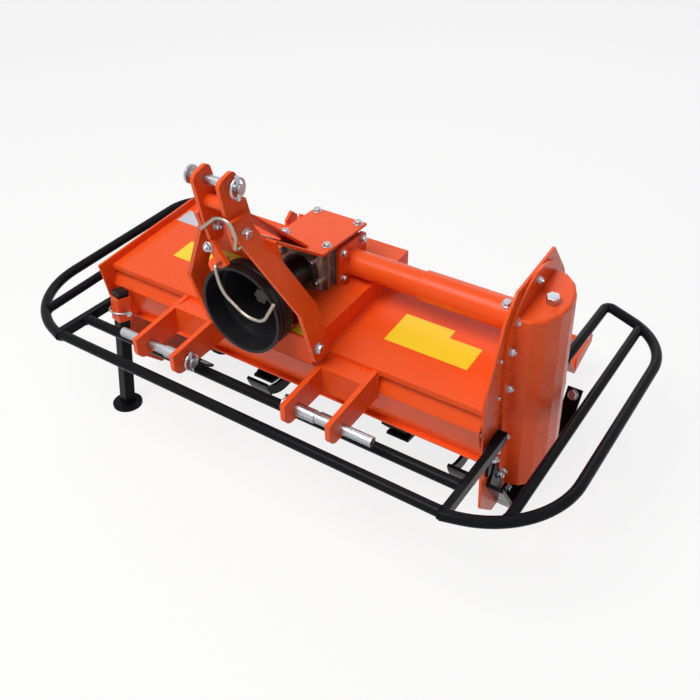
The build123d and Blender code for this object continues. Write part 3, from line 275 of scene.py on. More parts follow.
def turned(profile, steps, flat=None):
    """Surface of revolution about Z: (r cos t, r sin t, h) for each profile point (r, h) and angle t.

    With flat, r is held inside a hexagon: r(t) = min(r, flat / cos d), d the angle to the nearest flat.
    """
    radius, height = np.array(profile, float).T
    turn = full_turn(steps)
    reach = np.repeat(radius[:, None], steps, axis=1)
    if flat is not None:
        off = (turn + np.pi / 6) % (np.pi / 3) - np.pi / 6
        reach = np.minimum(reach, flat / np.cos(off))
    rise = np.repeat(height[:, None], steps, axis=1)
    points = np.stack([reach * np.cos(turn), reach * np.sin(turn), rise], axis=-1)
    return points.reshape(-1, 3), quads(len(radius), steps, True)


def swept(path, radius, up, steps=8, closed=False):
    """Round bar along a path: p(s) + r(s) (cos t n(s) + sin t m(s)), n = tangent x up, m = n x tangent.

    An open bar is closed at both ends by a ring of no radius.
    """
    if closed:
        tangent = np.roll(path, -1, axis=0) - np.roll(path, 1, axis=0)
    else:
        tangent = np.gradient(path, axis=0)
        path = np.concatenate([path[:1], path, path[-1:]])
        tangent = np.concatenate([tangent[:1], tangent, tangent[-1:]])
        radius = np.concatenate([[0.0], radius, [0.0]])
    tangent = unit(tangent)
    side = unit(np.cross(tangent, up))
    rise = np.cross(side, tangent)
    turn = full_turn(steps)[None, :, None]
    outline = np.cos(turn) * side[:, None, :] + np.sin(turn) * rise[:, None, :]
    points = path[:, None, :] + radius[:, None, None] * outline
    faces = quads(len(path), steps, True)
    if closed:
        last = (len(path) - 1) * steps
        column = np.arange(steps)
        after = (column + 1) % steps
        faces = np.concatenate([faces, np.stack([last + column, last + after, after, column], axis=-1)])
    return points.reshape(-1, 3), faces


def placed(shape, places, axes):
    """Copies of a shape drawn along Z, turned so that Z follows each axis: p = place + x a + y b + z axis."""
    points, faces = shape
    places = np.atleast_2d(np.asarray(places, float))
    axes = unit(np.broadcast_to(np.asarray(axes, float), places.shape))
    helper = np.where(np.abs(axes[:, 2:3]) > 0.9, RIGHT, UP)
    side = unit(np.cross(helper, axes))
    basis = np.stack([side, np.cross(axes, side), axes], axis=1)
    moved = places[:, None, :] + np.einsum("pi,kij->kpj", points, basis)
    numbers = faces[None] + (np.arange(len(places)) * len(points))[:, None, None]
    return moved.reshape(-1, 3), numbers.reshape(-1, faces.shape[1])


def joined(shapes):
    """Several shapes as one set of points and faces."""
    starts = np.cumsum([0] + [len(points) for points, _ in shapes[:-1]])
    points = np.concatenate([points for points, _ in shapes])
    faces = np.concatenate([faces + start for (_, faces), start in zip(shapes, starts)])
    return points, faces


def add_piece(name, shape, material, body, smooth=True):
    """Make an object of a shape, with closed poles, outward faces and its place in its mesh."""
    points, faces = shape
    mesh = bpy.data.meshes.new(name)
    mesh.from_pydata(points.tolist(), [], faces.tolist())
    form = bmesh.new()
    form.from_mesh(mesh)
    bmesh.ops.remove_doubles(form, verts=form.verts, dist=1e-7)
    bmesh.ops.recalc_face_normals(form, faces=form.faces)
    form.to_mesh(mesh)
    form.free()
    mesh.polygons.foreach_set("use_smooth", np.full(len(mesh.polygons), smooth))
    if smooth:
        mesh.set_sharp_from_angle(angle=CREASE)
    mesh.materials.append(material)
    piece = bpy.data.objects.new(name, mesh)
    bpy.context.scene.collection.objects.link(piece)
    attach(piece, body)
    return piece


# Finishes


def tone(colour, share):
    """A colour made darker or lighter."""
    return tuple(min(1.0, channel * share) for channel in colour)


class Graph:
    """A node tree under construction, with short calls for the nodes that the finishes and the sky share."""

    def __init__(self, tree):
        self.tree = tree

    def node(self, kind, **values):
        node = self.tree.nodes.new(kind)
        for key, value in values.items():
            setattr(node, key, value)
        return node

    def link(self, source, target):
        self.tree.links.new(source, target)

    def ranged(self, value, low, high, start=0.3, end=0.7):
        """A value's start to end spread over low to high."""
        node = self.node("ShaderNodeMapRange")
        node.inputs["From Min"].default_value = start
        node.inputs["From Max"].default_value = end
        node.inputs["To Min"].default_value = low
        node.inputs["To Max"].default_value = high
        self.link(value, node.inputs["Value"])
        return node.outputs["Result"]

    def combined(self, operation, first, second):
        """Two values by a named operation, such as MULTIPLY or MAXIMUM."""
        node = self.node("ShaderNodeMath", operation=operation)
        self.link(first, node.inputs[0])
        self.link(second, node.inputs[1])
        return node.outputs["Value"]

    def coordinate(self, vector, key):
        """One of a vector's X, Y and Z."""
        split = self.node("ShaderNodeSeparateXYZ")
        self.link(vector, split.inputs["Vector"])
        return split.outputs[key]

    def seen(self):
        """1 for rays from the camera, from a mirror and through glass, and 0 for the rest."""
        path = self.node("ShaderNodeLightPath").outputs
        bent = self.combined("MAXIMUM", path["Is Glossy Ray"], path["Is Transmission Ray"])
        return self.combined("MAXIMUM", path["Is Camera Ray"], bent)


class Finish(Graph):
    """The node material of one finish, on the piece's own coordinates."""

    def __init__(self, name):
        self.material = bpy.data.materials.new(name)
        self.material.use_nodes = True
        super().__init__(self.material.node_tree)
        self.shader = self.tree.nodes["Principled BSDF"]
        self.place = self.node("ShaderNodeTexCoord").outputs["Object"]

    def noise(self, scale, detail=2.0, roughness=0.5):
        """Fine or broad mottling as a value from 0 to 1."""
        node = self.node("ShaderNodeTexNoise")
        node.inputs["Scale"].default_value = scale
        node.inputs["Detail"].default_value = detail
        node.inputs["Roughness"].default_value = roughness
        self.link(self.place, node.inputs["Vector"])
        return node.outputs["Fac"]

    def mixed(self, share, first, second):
        """Colour between first and second, each a colour or a socket."""
        node = self.node("ShaderNodeMix", data_type="RGBA")
        self.link(share, node.inputs["Factor"])
        for key, colour in (("A", first), ("B", second)):
            socket = next(s for s in node.inputs if s.name == key and s.type == "RGBA")
            if isinstance(colour, bpy.types.NodeSocket):
                self.link(colour, socket)
            else:
                socket.default_value = (*colour, 1.0)
        return next(s for s in node.outputs if s.type == "RGBA")

    def drift(self, colour, dark, light, scale, detail=3.0, roughness=0.5):
        """Colour that drifts from a darker to a lighter tone of itself."""
        mottle = self.noise(scale, detail, roughness)
        return self.mixed(mottle, tone(colour, dark), tone(colour, light))

    def settled(self, share, scale, roughness=0.5):
        """Amount of dust: up to a share in patches on faces that look up, none on upright ones."""
        normal = self.node("ShaderNodeNewGeometry").outputs["Normal"]
        upward = self.ranged(self.coordinate(normal, "Z"), 0.0, 1.0, start=0.55, end=1.0)
        patches = self.ranged(self.noise(scale, detail=6.0, roughness=roughness), 0.0, share)
        return self.combined("MULTIPLY", upward, patches)

    def colour(self, socket):
        self.link(socket, self.shader.inputs["Base Color"])

    def sheen(self, smooth, rough, scale, detail):
        """Shader's roughness, drifting from smooth to rough."""
        drift = self.ranged(self.noise(scale, detail), smooth, rough)
        self.link(drift, self.shader.inputs["Roughness"])

    def grain(self, strength, depth, scale, detail=2.0, roughness=0.5):
        """Fine bump of a given strength and depth."""
        node = self.node("ShaderNodeBump")
        node.inputs["Strength"].default_value = strength
        node.inputs["Distance"].default_value = depth
        self.link(self.noise(scale, detail, roughness), node.inputs["Height"])
        self.link(node.outputs["Normal"], self.shader.inputs["Normal"])

    def set(self, **values):
        """Set the shader's own sockets, named with _ for a space."""
        for key, value in values.items():
            self.shader.inputs[key.replace("_", " ")].default_value = value


EARTH = (0.30, 0.17, 0.10)
PALE_DUST = (0.20, 0.18, 0.16)
RUBBED_METAL = (0.46, 0.44, 0.42)


def enamel(name, colour, smooth, gloss):
    """Sprayed gloss paint: slow shade changes, orange-peel ripple and a little dust on top faces."""
    finish = Finish(name)
    shade = finish.drift(colour, dark=0.93, light=1.06, scale=4.0)
    finish.colour(finish.mixed(finish.settled(share=0.015, scale=26.0, roughness=0.62), shade, EARTH))
    finish.sheen(smooth, smooth + 0.10, scale=38.0, detail=5.0)
    finish.grain(strength=0.03, depth=0.0004, scale=160.0)
    finish.set(Specular_IOR_Level=gloss)
    return finish.material


def plating(name, colour, smooth):
    """Bright plated steel: cloudy reflections and a fine drawn grain."""
    finish = Finish(name)
    finish.colour(finish.drift(colour, dark=0.90, light=1.06, scale=45.0))
    finish.sheen(smooth, smooth + 0.12, scale=120.0, detail=4.0)
    finish.grain(strength=0.02, depth=0.0003, scale=260.0)
    finish.set(Metallic=1.0)
    return finish.material


def moulded(name, colour):
    """Moulded plastic: even colour, fine grain and a dusty bloom on top."""
    finish = Finish(name)
    shade = finish.drift(colour, dark=1.0, light=1.5, scale=9.0)
    finish.colour(finish.mixed(finish.settled(share=0.05, scale=30.0), shade, PALE_DUST))
    finish.sheen(0.28, 0.42, scale=55.0, detail=4.0)
    finish.grain(strength=0.12, depth=0.0003, scale=1400.0)
    finish.set(Specular_IOR_Level=0.22)
    return finish.material


def raw_casting(name, colour):
    """Sand casting: rough skin, dark hollows and brighter rubbed patches."""
    finish = Finish(name)
    skin = finish.drift(colour, dark=0.45, light=1.5, scale=60.0, detail=6.0, roughness=0.65)
    rubbed = finish.ranged(finish.noise(scale=16.0, detail=3.0), 0.0, 0.55, start=0.5, end=0.75)
    finish.colour(finish.mixed(rubbed, skin, RUBBED_METAL))
    finish.sheen(0.30, 0.58, scale=90.0, detail=5.0)
    finish.grain(strength=0.45, depth=0.0012, scale=330.0, detail=5.0, roughness=0.6)
    finish.set(Metallic=0.75)
    return finish.material


def printed(name, colour):
    """Blank plate: even film with a faint mottle and satin gloss."""
    finish = Finish(name)
    finish.colour(finish.drift(colour, dark=0.95, light=1.04, scale=24.0))
    finish.sheen(0.32, 0.42, scale=80.0, detail=3.0)
    finish.grain(strength=0.05, depth=0.0003, scale=500.0)
    return finish.material


def make_finishes(paint):
    """All the finishes, keyed by the record's slots where one fits."""
    return {
        "orange_paint": enamel("orange_enamel", paint.orange, smooth=0.25, gloss=0.22),
        "black_paint": enamel("black_enamel", paint.black, smooth=0.14, gloss=0.05),
        "zinc_plate": plating("zinc_plating", paint.zinc, smooth=0.24),
        "oiled_steel": plating("oiled_steel", paint.steel, smooth=0.36),
        "bright_wire": plating("plated_wire", paint.wire, smooth=0.26),
        "black_plastic": moulded("black_plastic", paint.plastic),
        "cast_housing": raw_casting("raw_casting", paint.casting),
        "yellow_plate": printed("yellow_plate", paint.yellow),
        "silver_plate": printed("silver_plate", paint.silver),
    }


FINISHES = {}
OWN_FINISH = {"input_shaft": "oiled_steel"}

# Fixings: the size of each against the standard bolt, then shares of a fastener's own sizes

BOLT_SIZE = {
    "cover": 0.95, "flange": 0.90, "boss": 1.10, "sleeve": 1.05, "leg": 1.20, "leg_nut": 1.10, "strap": 1.00,
    "case": 0.85, "case_stud": 0.90, "guard": 0.95, "skid": 1.00, "skid_end": 1.25, "toe": 0.95,
    "hinge": 1.10, "bearing": 1.00, "tine": 0.85,
}
WASHER_SIDE = 0.80  # washer's upright side, of its thickness
WASHER_FACE = 0.97  # washer's flat face, of its radius
CROWN = 0.92  # turned top of a head, of its flat
CROWN_FALL = 0.60  # depth of the crown's bevel, of its width
THREAD = 0.58  # radius of a nut's bolt, of the nut's flat
THREAD_FOOT = 0.50  # start of the bolt inside its nut, of the nut's height
THREAD_END = 0.90  # bolt beyond its nut, of the bolt's radius
THREAD_BEVEL = 0.30  # depth of the bolt end's bevel, of the bolt's radius
THREAD_TIP = 0.70  # flat of a bolt's end, of the bolt's radius
STUD = 0.62  # radius of a bare bolt end, of a head's flat
STUD_HEIGHT = 0.90  # height of a bare bolt end, of its radius
STUD_SIDE = 0.60  # upright side of a bare bolt end, of its height


def bolt_shape(fixings, size, steps=24):
    """Washer and a hexagon head with a turned crown."""
    flat = fixings.flat * size
    corner = flat / math.cos(math.pi / 6)
    washer = fixings.washer * size
    seat = fixings.washer_thickness * size
    top = seat + fixings.head * size
    crown = flat * CROWN
    shoulder = top - (corner - crown) * CROWN_FALL
    rim = [(washer, 0), (washer, seat * WASHER_SIDE), (washer * WASHER_FACE, seat)]
    disc = turned([(0, 0), *rim, (0, seat)], steps)
    head = turned([(0, seat), (corner, seat), (corner, shoulder), (crown, top), (0, top)], steps, flat)
    return joined([disc, head])


def nut_shape(fixings, size, steps=24):
    """Washer, hexagon nut and the rounded end of its bolt."""
    top = (fixings.washer_thickness + fixings.head) * size
    thread = fixings.flat * size * THREAD
    foot = top * THREAD_FOOT
    end = top + thread * THREAD_END
    side = [(thread, foot), (thread, end - thread * THREAD_BEVEL), (thread * THREAD_TIP, end)]
    return joined([bolt_shape(fixings, size, steps), turned([(0, foot), *side, (0, end)], steps)])


def stud_shape(fixings, size, steps=16):
    """Domed end of a bolt that comes through a plate."""
    radius = fixings.flat * size * STUD
    height = radius * STUD_HEIGHT
    side = [(radius, 0), (radius, height * STUD_SIDE), (radius * THREAD_TIP, height)]
    return turned([(0, 0), *side, (0, height)], steps)


def add_bolts(name, shape, places, axes, body="frame"):
    """Make one plated piece of a fastener's copies."""
    add_piece(name, placed(shape, places, axes), FINISHES["zinc_plate"], body)


# Welds

RIPPLE_POINTS = 4  # points along one ripple of a bead
RIPPLE_SWELL = 0.2  # swell of a ripple, of the bead's half width
BEAD_SIZE = {"tube": 1.0, "hitch": 0.9, "hood": 0.8}  # beads against the standard one


def resampled(path, step, least=4):
    """Points at even steps along a line of straight runs, read off its running length."""
    run = np.concatenate([[0.0], np.cumsum(np.linalg.norm(np.diff(path, axis=0), axis=1))])
    place = np.linspace(0.0, run[-1], max(int(run[-1] / step), least) + 1)
    return np.stack([np.interp(place, run, path[:, k]) for k in range(3)], axis=-1)


def bead(path, fixings, up, kind, closed=False):
    """Weld bead: a bar along the path with radius b (1 + swell sin(2 pi s / ripple))."""
    if closed:
        path = np.concatenate([path, path[:1]])
    line = resampled(path, fixings.ripple / RIPPLE_POINTS)
    if closed:
        line = line[:-1]
    phase = np.arange(len(line)) * 2 * np.pi / RIPPLE_POINTS
    radius = fixings.bead * BEAD_SIZE[kind] * (1 + RIPPLE_SWELL * np.sin(phase))
    return swept(line, radius, up, closed=closed)


def bar_end(node, axis, high_end):
    """Outline of one end of a bar, its points in order of angle about the bar's line."""
    points = vertices(node)
    middle = (points[:, axis].min() + points[:, axis].max()) / 2
    points = points[(points[:, axis] > middle) == high_end]
    offset = np.delete(points, axis, axis=1)
    offset = offset - (offset.min(axis=0) + offset.max(axis=0)) / 2
    return points[np.argsort(np.arctan2(offset[:, 1], offset[:, 0]))]


class ROTAVATOR_OT_paint(bpy.types.Operator):
    """Round the edges of the modelled pieces and give each its finish"""

    bl_idname = "rotavator.paint"
    bl_label = "Paint"

    merge: length("Merge", "Points closer than this are merged", 1e-5)
    face_weight: IntProperty(name="Face weight", description="Pull of large faces on the shading", default=80)

    def execute(self, context):
        paint = context.scene.rotavator_paint
        FINISHES.update(make_finishes(paint))
        for name, node in NODES.items():
            mesh = node.data
            mesh.materials.clear()
            mesh.materials.append(FINISHES[OWN_FINISH.get(name, SLOT_OF[name])])
            mesh.polygons.foreach_set("use_smooth", np.ones(len(mesh.polygons), dtype=bool))
            weld = node.modifiers.new("weld", "WELD")
            weld.merge_threshold = self.merge
            round_over = node.modifiers.new("edge_round", "BEVEL")
            round_over.width = paint.edge
            round_over.segments = paint.edge_steps
            round_over.limit_method = "ANGLE"
            round_over.angle_limit = paint.case_fold if name == "chain_case" else paint.fold
            round_over.use_clamp_overlap = True
            shade = node.modifiers.new("even_shade", "WEIGHTED_NORMAL")
            shade.weight = self.face_weight
        return {"FINISHED"}


class ROTAVATOR_OT_gearbox_bolts(bpy.types.Operator):
    """Bolt down the gearbox cover, the drive flange and the end plate, and plug the casting's bosses"""

    bl_idname = "rotavator.gearbox_bolts"
    bl_label = "Gearbox bolts"

    front_inset: length("Front inset", "Front cover bolts behind the cover's bend", 0.033)
    boss_circle: length("Boss circle", "Radius of the casting's bosses", 0.054)
    sleeve_inset: length("Sleeve bolt inset", "Sleeve bolt from the side plate", 0.045)
    sleeve_radius: length("Sleeve radius", "Cross tube's axis to the sleeve bolt's seat", 0.0335)
    sleeve_angle: angle("Sleeve bolt angle", "Sleeve bolt above the front", 66)
    boss_angles = (-15.0, 40.0, 140.0, 195.0)

    def cover(self, fixings):
        inset = fixings.inset
        points = vertices("gearbox_cover")
        low, high = points.min(axis=0), points.max(axis=0)
        top = points[points[:, 1] > high[1] - NEAR][:, 2].max()
        bend = points[np.abs(points[:, 2] - top) < NEAR][:, 1].min()
        spots = spread((low[0] + inset, high[0] - inset), (bend + self.front_inset, high[1] - inset), top)
        add_bolts("bolts_gearbox_cover", bolt_shape(fixings, BOLT_SIZE["cover"]), spots, UP)

    def flanges(self, fixings):
        """Four bolts on the end plate and four on the drive flange, which is as large and as thick."""
        inset = fixings.inset
        low, high = corners("gearbox_end_plate")
        thickness = high[0] - low[0]
        faces = {"bolts_end_plate": (low[0], -1), "bolts_drive_flange": (DRIVE_LOW[0] + thickness, 1)}
        for name, (face, side) in faces.items():
            spots = spread(face, (low[1] + inset, high[1] - inset), (low[2] + inset, high[2] - inset))
            add_bolts(name, bolt_shape(fixings, BOLT_SIZE["flange"]), spots, side * RIGHT)

    def bosses(self, fixings):
        middle = np.array([0, corners("gearbox_housing")[0][1], SHAFT_AXIS[2]])
        spots = ring(middle, self.boss_circle, np.radians(self.boss_angles), RIGHT, UP)
        add_bolts("plugs_gearbox_bosses", stud_shape(fixings, BOLT_SIZE["boss"]), spots, -REAR)

    def sleeve(self, fixings):
        out = UP * math.sin(self.sleeve_angle) - REAR * math.cos(self.sleeve_angle)
        spot = at_x(DRIVE_MIDDLE, DRIVE_HIGH[0] - self.sleeve_inset) + out * self.sleeve_radius
        add_bolts("bolt_drive_sleeve", bolt_shape(fixings, BOLT_SIZE["sleeve"]), spot, out)

    def execute(self, context):
        fixings = context.scene.rotavator_fixings
        self.cover(fixings)
        self.flanges(fixings)
        self.bosses(fixings)
        self.sleeve(fixings)
        return {"FINISHED"}


class ROTAVATOR_OT_mast_bolts(bpy.types.Operator):
    """Bolts of the mast legs and of the hook's strap"""

    bl_idname = "rotavator.mast_bolts"
    bl_label = "Mast bolts"

    leg_top: length("Leg top bolt", "Bolt below a leg's top", 0.039)
    leg_foot: length("Leg foot bolt", "Bolt above a leg's foot", 0.033)
    leg_shift: length("Leg bolt shift", "Foot bolt ahead of the leg's middle", 0.008)
    strap_drop: length("Strap bolt drop", "Strap bolt below the strap's top", 0.016)
    strap_edge: length("Strap bolt edge", "Strap bolt from the strap's left edge", 0.008)

    def leg(self, name, side, fixings):
        """Bolts at a leg's top and foot, and a nut inside the mast plate behind the top one."""
        points = vertices(f"mast_leg_{name}")
        low, high = points[:, 2].min(), points[:, 2].max()
        top = points[points[:, 2] > high - NEAR]
        foot = points[points[:, 2] < low + NEAR]
        lean = (top[:, 1].mean() - foot[:, 1].mean()) / (high - low)
        top_y = top[:, 1].mean() - lean * self.leg_top
        foot_y = foot[:, 1].mean() + lean * self.leg_foot - self.leg_shift
        upper = np.array([side * np.abs(top[:, 0]).max(), top_y, high - self.leg_top])
        lower = np.array([side * np.abs(foot[:, 0]).max(), foot_y, low + self.leg_foot])
        bolt = bolt_shape(fixings, BOLT_SIZE["leg"])
        add_bolts(f"bolts_mast_leg_{name}", bolt, [upper, lower], side * RIGHT)
        inside = at_x(upper, inner_face(f"mast_plate_{name}", side))
        nut = nut_shape(fixings, BOLT_SIZE["leg_nut"])
        add_bolts(f"nut_mast_plate_{name}", nut, inside, -side * RIGHT)

    def execute(self, context):
        fixings = context.scene.rotavator_fixings
        for name, side in SIDES.items():
            self.leg(name, side, fixings)
        low, high = corners("hook_strap")
        spot = (low[0] + self.strap_edge, low[1], high[2] - self.strap_drop)
        add_bolts("bolt_hook_strap", nut_shape(fixings, BOLT_SIZE["strap"]), spot, -REAR)
        return {"FINISHED"}


class ROTAVATOR_OT_side_bolts(bpy.types.Operator):
    """Bolts of the chain case, the guard brackets, the skids, the flap hinge and the rotor bearing"""

    bl_idname = "rotavator.side_bolts"
    bl_label = "Side bolts"

    margin: length("Flange margin", "Chain case bolts from the case's line", 0.108)
    stud_lead: length("Stud lead", "Bolt ends ahead of the case's flange", 0.034)
    bearing_circle: length("Bearing circle", "Radius of the bearing's bolt circle", 0.053)
    skid_height: length("Skid bolt height", "Skid bolts above the ground", 0.028)
    skid_inset: length("Skid bolt inset", "Outer skid bolts from the sole's ends", 0.030)
    skid_sheet: length("Skid sheet", "Thickness of a skid's sole", 0.008)
    heel_inset: length("Heel bolt inset", "Heel bolt from the end of a skid's raised heel", 0.018)
    flange_steps = (-0.058, 0.056, 0.198, 0.298)
    arch_angles = (-52.0, 0.0, 52.0)
    bearing_angles = (45.0, 135.0, 225.0, 315.0)
    guard_shares = (0.38, 0.60)
    skid_count = 3

    def case_bolts(self, fixings):
        """Bolts along both margins of the leaning flange and round its arched top, and ends ahead of it."""
        rise = at_x(DRIVE_MIDDLE - ROTOR_AXIS, 0.0)
        span = np.linalg.norm(rise)
        line = rise / span
        across = np.cross(RIGHT, line)
        margin = across * self.margin
        base = at_x(ROTOR_AXIS, outer_face("chain_case_flange", 1))
        spots = [base + line * s + margin * hand for s in self.flange_steps for hand in SIDES.values()]
        arch = ring(base + line * span, self.margin, np.radians(self.arch_angles), line, across)
        bolt = nut_shape(fixings, BOLT_SIZE["case"])
        add_bolts("bolts_chain_case", bolt, np.concatenate([spots, arch]), RIGHT)
        lead = at_x(base, inner_face("chain_case_flange", 1)) + across * (self.margin + self.stud_lead)
        studs = [lead + line * step for step in self.flange_steps[1:]]
        add_bolts("studs_side_plate", stud_shape(fixings, BOLT_SIZE["case_stud"]), studs, RIGHT)

    def guard_bolts(self, fixings):
        for name, side in SIDES.items():
            node = f"guard_bracket_front_{name}"
            face = outer_face(node, side)
            low, high = corners(node)
            middle = (low[1] + high[1]) / 2
            spots = [(face, middle, low[2] + (high[2] - low[2]) * share) for share in self.guard_shares]
            low, high = corners(f"guard_bracket_rear_{name}")
            spots.append((face, high[1] - fixings.inset, (low[2] + high[2]) / 2))
            add_bolts(f"bolts_guard_{name}", nut_shape(fixings, BOLT_SIZE["guard"]), spots, side * RIGHT)

    def skid_bolts(self, fixings):
        """Bolts through a skid's flange, and one through its raised heel."""
        for name, side in SIDES.items():
            points = vertices(f"skid_{name}")
            plate = abs(outer_face(f"side_plate_{name}", side))
            across = np.abs(points[:, 0])
            flange = levels(across[across > plate + NEAR])[0]
            sole = points[points[:, 2] < NEAR][:, 1]
            reach = np.linspace(sole.min() + self.skid_inset, sole.max() - self.skid_inset, self.skid_count)
            spots = spread(side * flange, reach, self.skid_height)
            add_bolts(f"bolts_skid_{name}", bolt_shape(fixings, BOLT_SIZE["skid"]), spots, side * RIGHT)
            tip = at_x(points[points[:, 1].argmax()], side * (plate + across.max()) / 2)
            slope = unit(np.array([0.0, tip[1] - sole.max(), tip[2]]))
            normal = np.cross(RIGHT, slope)
            spot = tip - slope * self.heel_inset + normal * self.skid_sheet
            add_bolts(f"bolt_skid_end_{name}", bolt_shape(fixings, BOLT_SIZE["skid_end"]), spot, normal)

    def hinge_nuts(self, fixings):
        for name, side in SIDES.items():
            spot = at_x(HINGE_AXIS, outer_face(f"side_plate_{name}", side))
            add_bolts(f"nut_flap_hinge_{name}", nut_shape(fixings, BOLT_SIZE["hinge"]), spot, side * RIGHT)

    def bearing_bolts(self, fixings):
        """Bolts on the outer face of the bearing's flange."""
        points = vertices("rotor_bearing")
        face = points[off_axis(points, ROTOR_AXIS) > self.bearing_circle][:, 0].min()
        spots = ring(at_x(ROTOR_AXIS, face), self.bearing_circle, np.radians(self.bearing_angles))
        add_bolts("bolts_rotor_bearing", bolt_shape(fixings, BOLT_SIZE["bearing"]), spots, -RIGHT)

    def execute(self, context):
        fixings = context.scene.rotavator_fixings
        self.case_bolts(fixings)
        self.guard_bolts(fixings)
        self.skid_bolts(fixings)
        self.hinge_nuts(fixings)
        self.bearing_bolts(fixings)
        return {"FINISHED"}


class ROTAVATOR_OT_skid_toes(bpy.types.Operator):
    """Angle bars that carry the skids' front ends up to the guard's brackets"""

    bl_idname = "rotavator.skid_toes"
    bl_label = "Skid toes"

    reach: length("Toe reach", "Toe beyond the skid's tip", 0.094)
    lap: length("Toe lap", "Toe's lap on the skid", 0.012)
    sole: length("Sole", "Thickness of the toe's sole, along its upright leg", 0.0105)
    leg: length("Leg", "Thickness of the upright leg", 0.009)
    flange: length("Leg height", "Height of the upright leg", 0.063)
    lean: angle("Leg lean", "Upright leg back from the vertical", 15)
    bolt_run: length("Bolt run", "Toe bolt beyond the skid's tip", 0.039)

    def execute(self, context):
        """Each bar is an L outline (a, b) carried along the skid's slope: p(s) + a across + b up."""
        fixings = context.scene.rotavator_fixings
        up = REAR * math.sin(self.lean) + UP * math.cos(self.lean)
        run = np.array([-self.lap, -self.lap, self.reach, self.reach])
        for name, side in SIDES.items():
            points = vertices(f"skid_{name}")
            plate = outer_face(f"side_plate_{name}", side)
            width = np.abs(points[:, 0]).max() - abs(plate)
            foot = at_x(points[points[:, 1].argmin()], plate)
            sole_front = points[points[:, 2] < NEAR][:, 1].min()
            slope = unit(np.array([0.0, foot[1] - sole_front, foot[2]]))
            across = side * RIGHT
            outline = np.array([
                (0, 0), (width, 0), (width, self.sole),
                (self.leg, self.sole), (self.leg, self.flange), (0, self.flange),
            ])
            pole = np.tile([self.leg / 2, self.sole / 2], (len(outline), 1))
            section = np.stack([pole, outline, outline, pole])
            bar = foot + run[:, None, None] * slope + section[..., :1] * across + section[..., 1:] * up
            shape = bar.reshape(-1, 3), quads(len(run), len(outline), True)
            add_piece(f"skid_toe_{name}", shape, FINISHES["black_paint"], "frame")
            spot = foot + slope * self.bolt_run + across * self.leg + up * (self.flange - fixings.washer)
            add_bolts(f"bolt_skid_toe_{name}", nut_shape(fixings, BOLT_SIZE["toe"]), spot, across)
        return {"FINISHED"}


class ROTAVATOR_OT_shield_band(bpy.types.Operator):
    """Raised band round the rear of the shaft shield's mouth"""

    bl_idname = "rotavator.shield_band"
    bl_label = "Shield band"

    radius: length("Band radius", "Outside of the band", 0.0973)
    seat: length("Seat radius", "Inside of the band", 0.0915)
    setback: length("Setback", "Band behind the rim", 0.024)
    width: length("Band width", "Band from front to rear", 0.026)
    bevel: length("Band bevel", "Bevel of the band's edges", 0.0012)
    steps: IntProperty(name="Band steps", description="Faces round the band", default=96, min=3)

    def execute(self, context):
        front = corners("pto_shield")[0][1] + self.setback
        rear = front + self.width
        flat = self.radius - self.bevel
        profile = [
            (self.seat, front), (flat, front), (self.radius, front + self.bevel),
            (self.radius, rear - self.bevel), (flat, rear), (self.seat, rear), (self.seat, front),
        ]
        band = placed(turned(profile, self.steps), (0, 0, SHAFT_AXIS[2]), REAR)
        add_piece("shield_band", band, FINISHES["black_plastic"], "frame")
        return {"FINISHED"}


class ROTAVATOR_OT_tine_bolts(bpy.types.Operator):
    """Two bolts at each tine's root, on the turning rotor"""

    bl_idname = "rotavator.tine_bolts"
    bl_label = "Tine bolts"

    inner: length("Inner bolt", "Inner bolt from the axis", 0.052)
    outer: length("Outer bolt", "Outer bolt from the axis", 0.069)
    tine: length("Tine thickness", "Thickness of a blade", 0.008)
    tines: IntProperty(name="Tines", description="Tines on a disc", default=4, min=2)
    steps: IntProperty(name="Bolt steps", description="Faces round a bolt", default=12, min=6)

    def discs(self):
        """Left and right face of each disc, from the rotor's points beyond its tube."""
        points = vertices("rotor_shaft")
        reach = off_axis(points, ROTOR_AXIS)
        return levels(points[reach > reach.max() - NEAR][:, 0]).reshape(-1, 2)

    def execute(self, context):
        """Tines stand on the two faces of a disc in turn, and each disc is turned on from the one before."""
        fixings = context.scene.rotavator_fixings
        faces = self.discs()
        heads = []
        nuts = []
        for i, (left, right) in enumerate(faces):
            for k, turn in enumerate(full_turn(self.tines) + math.pi / len(faces) * i):
                side = 1 if k % 2 == 0 else -1
                blade = right + self.tine if side > 0 else left - self.tine
                back = left if side > 0 else right
                for reach in (self.inner, self.outer):
                    root = ring(ROTOR_AXIS, reach, turn, UP, -REAR)[0]
                    heads.append((at_x(root, blade), side * RIGHT))
                    nuts.append((at_x(root, back), -side * RIGHT))
        size = BOLT_SIZE["tine"]
        add_bolts("bolts_tines", bolt_shape(fixings, size, self.steps), *zip(*heads), "rotor")
        add_bolts("nuts_tines", nut_shape(fixings, size, self.steps), *zip(*nuts), "rotor")
        return {"FINISHED"}


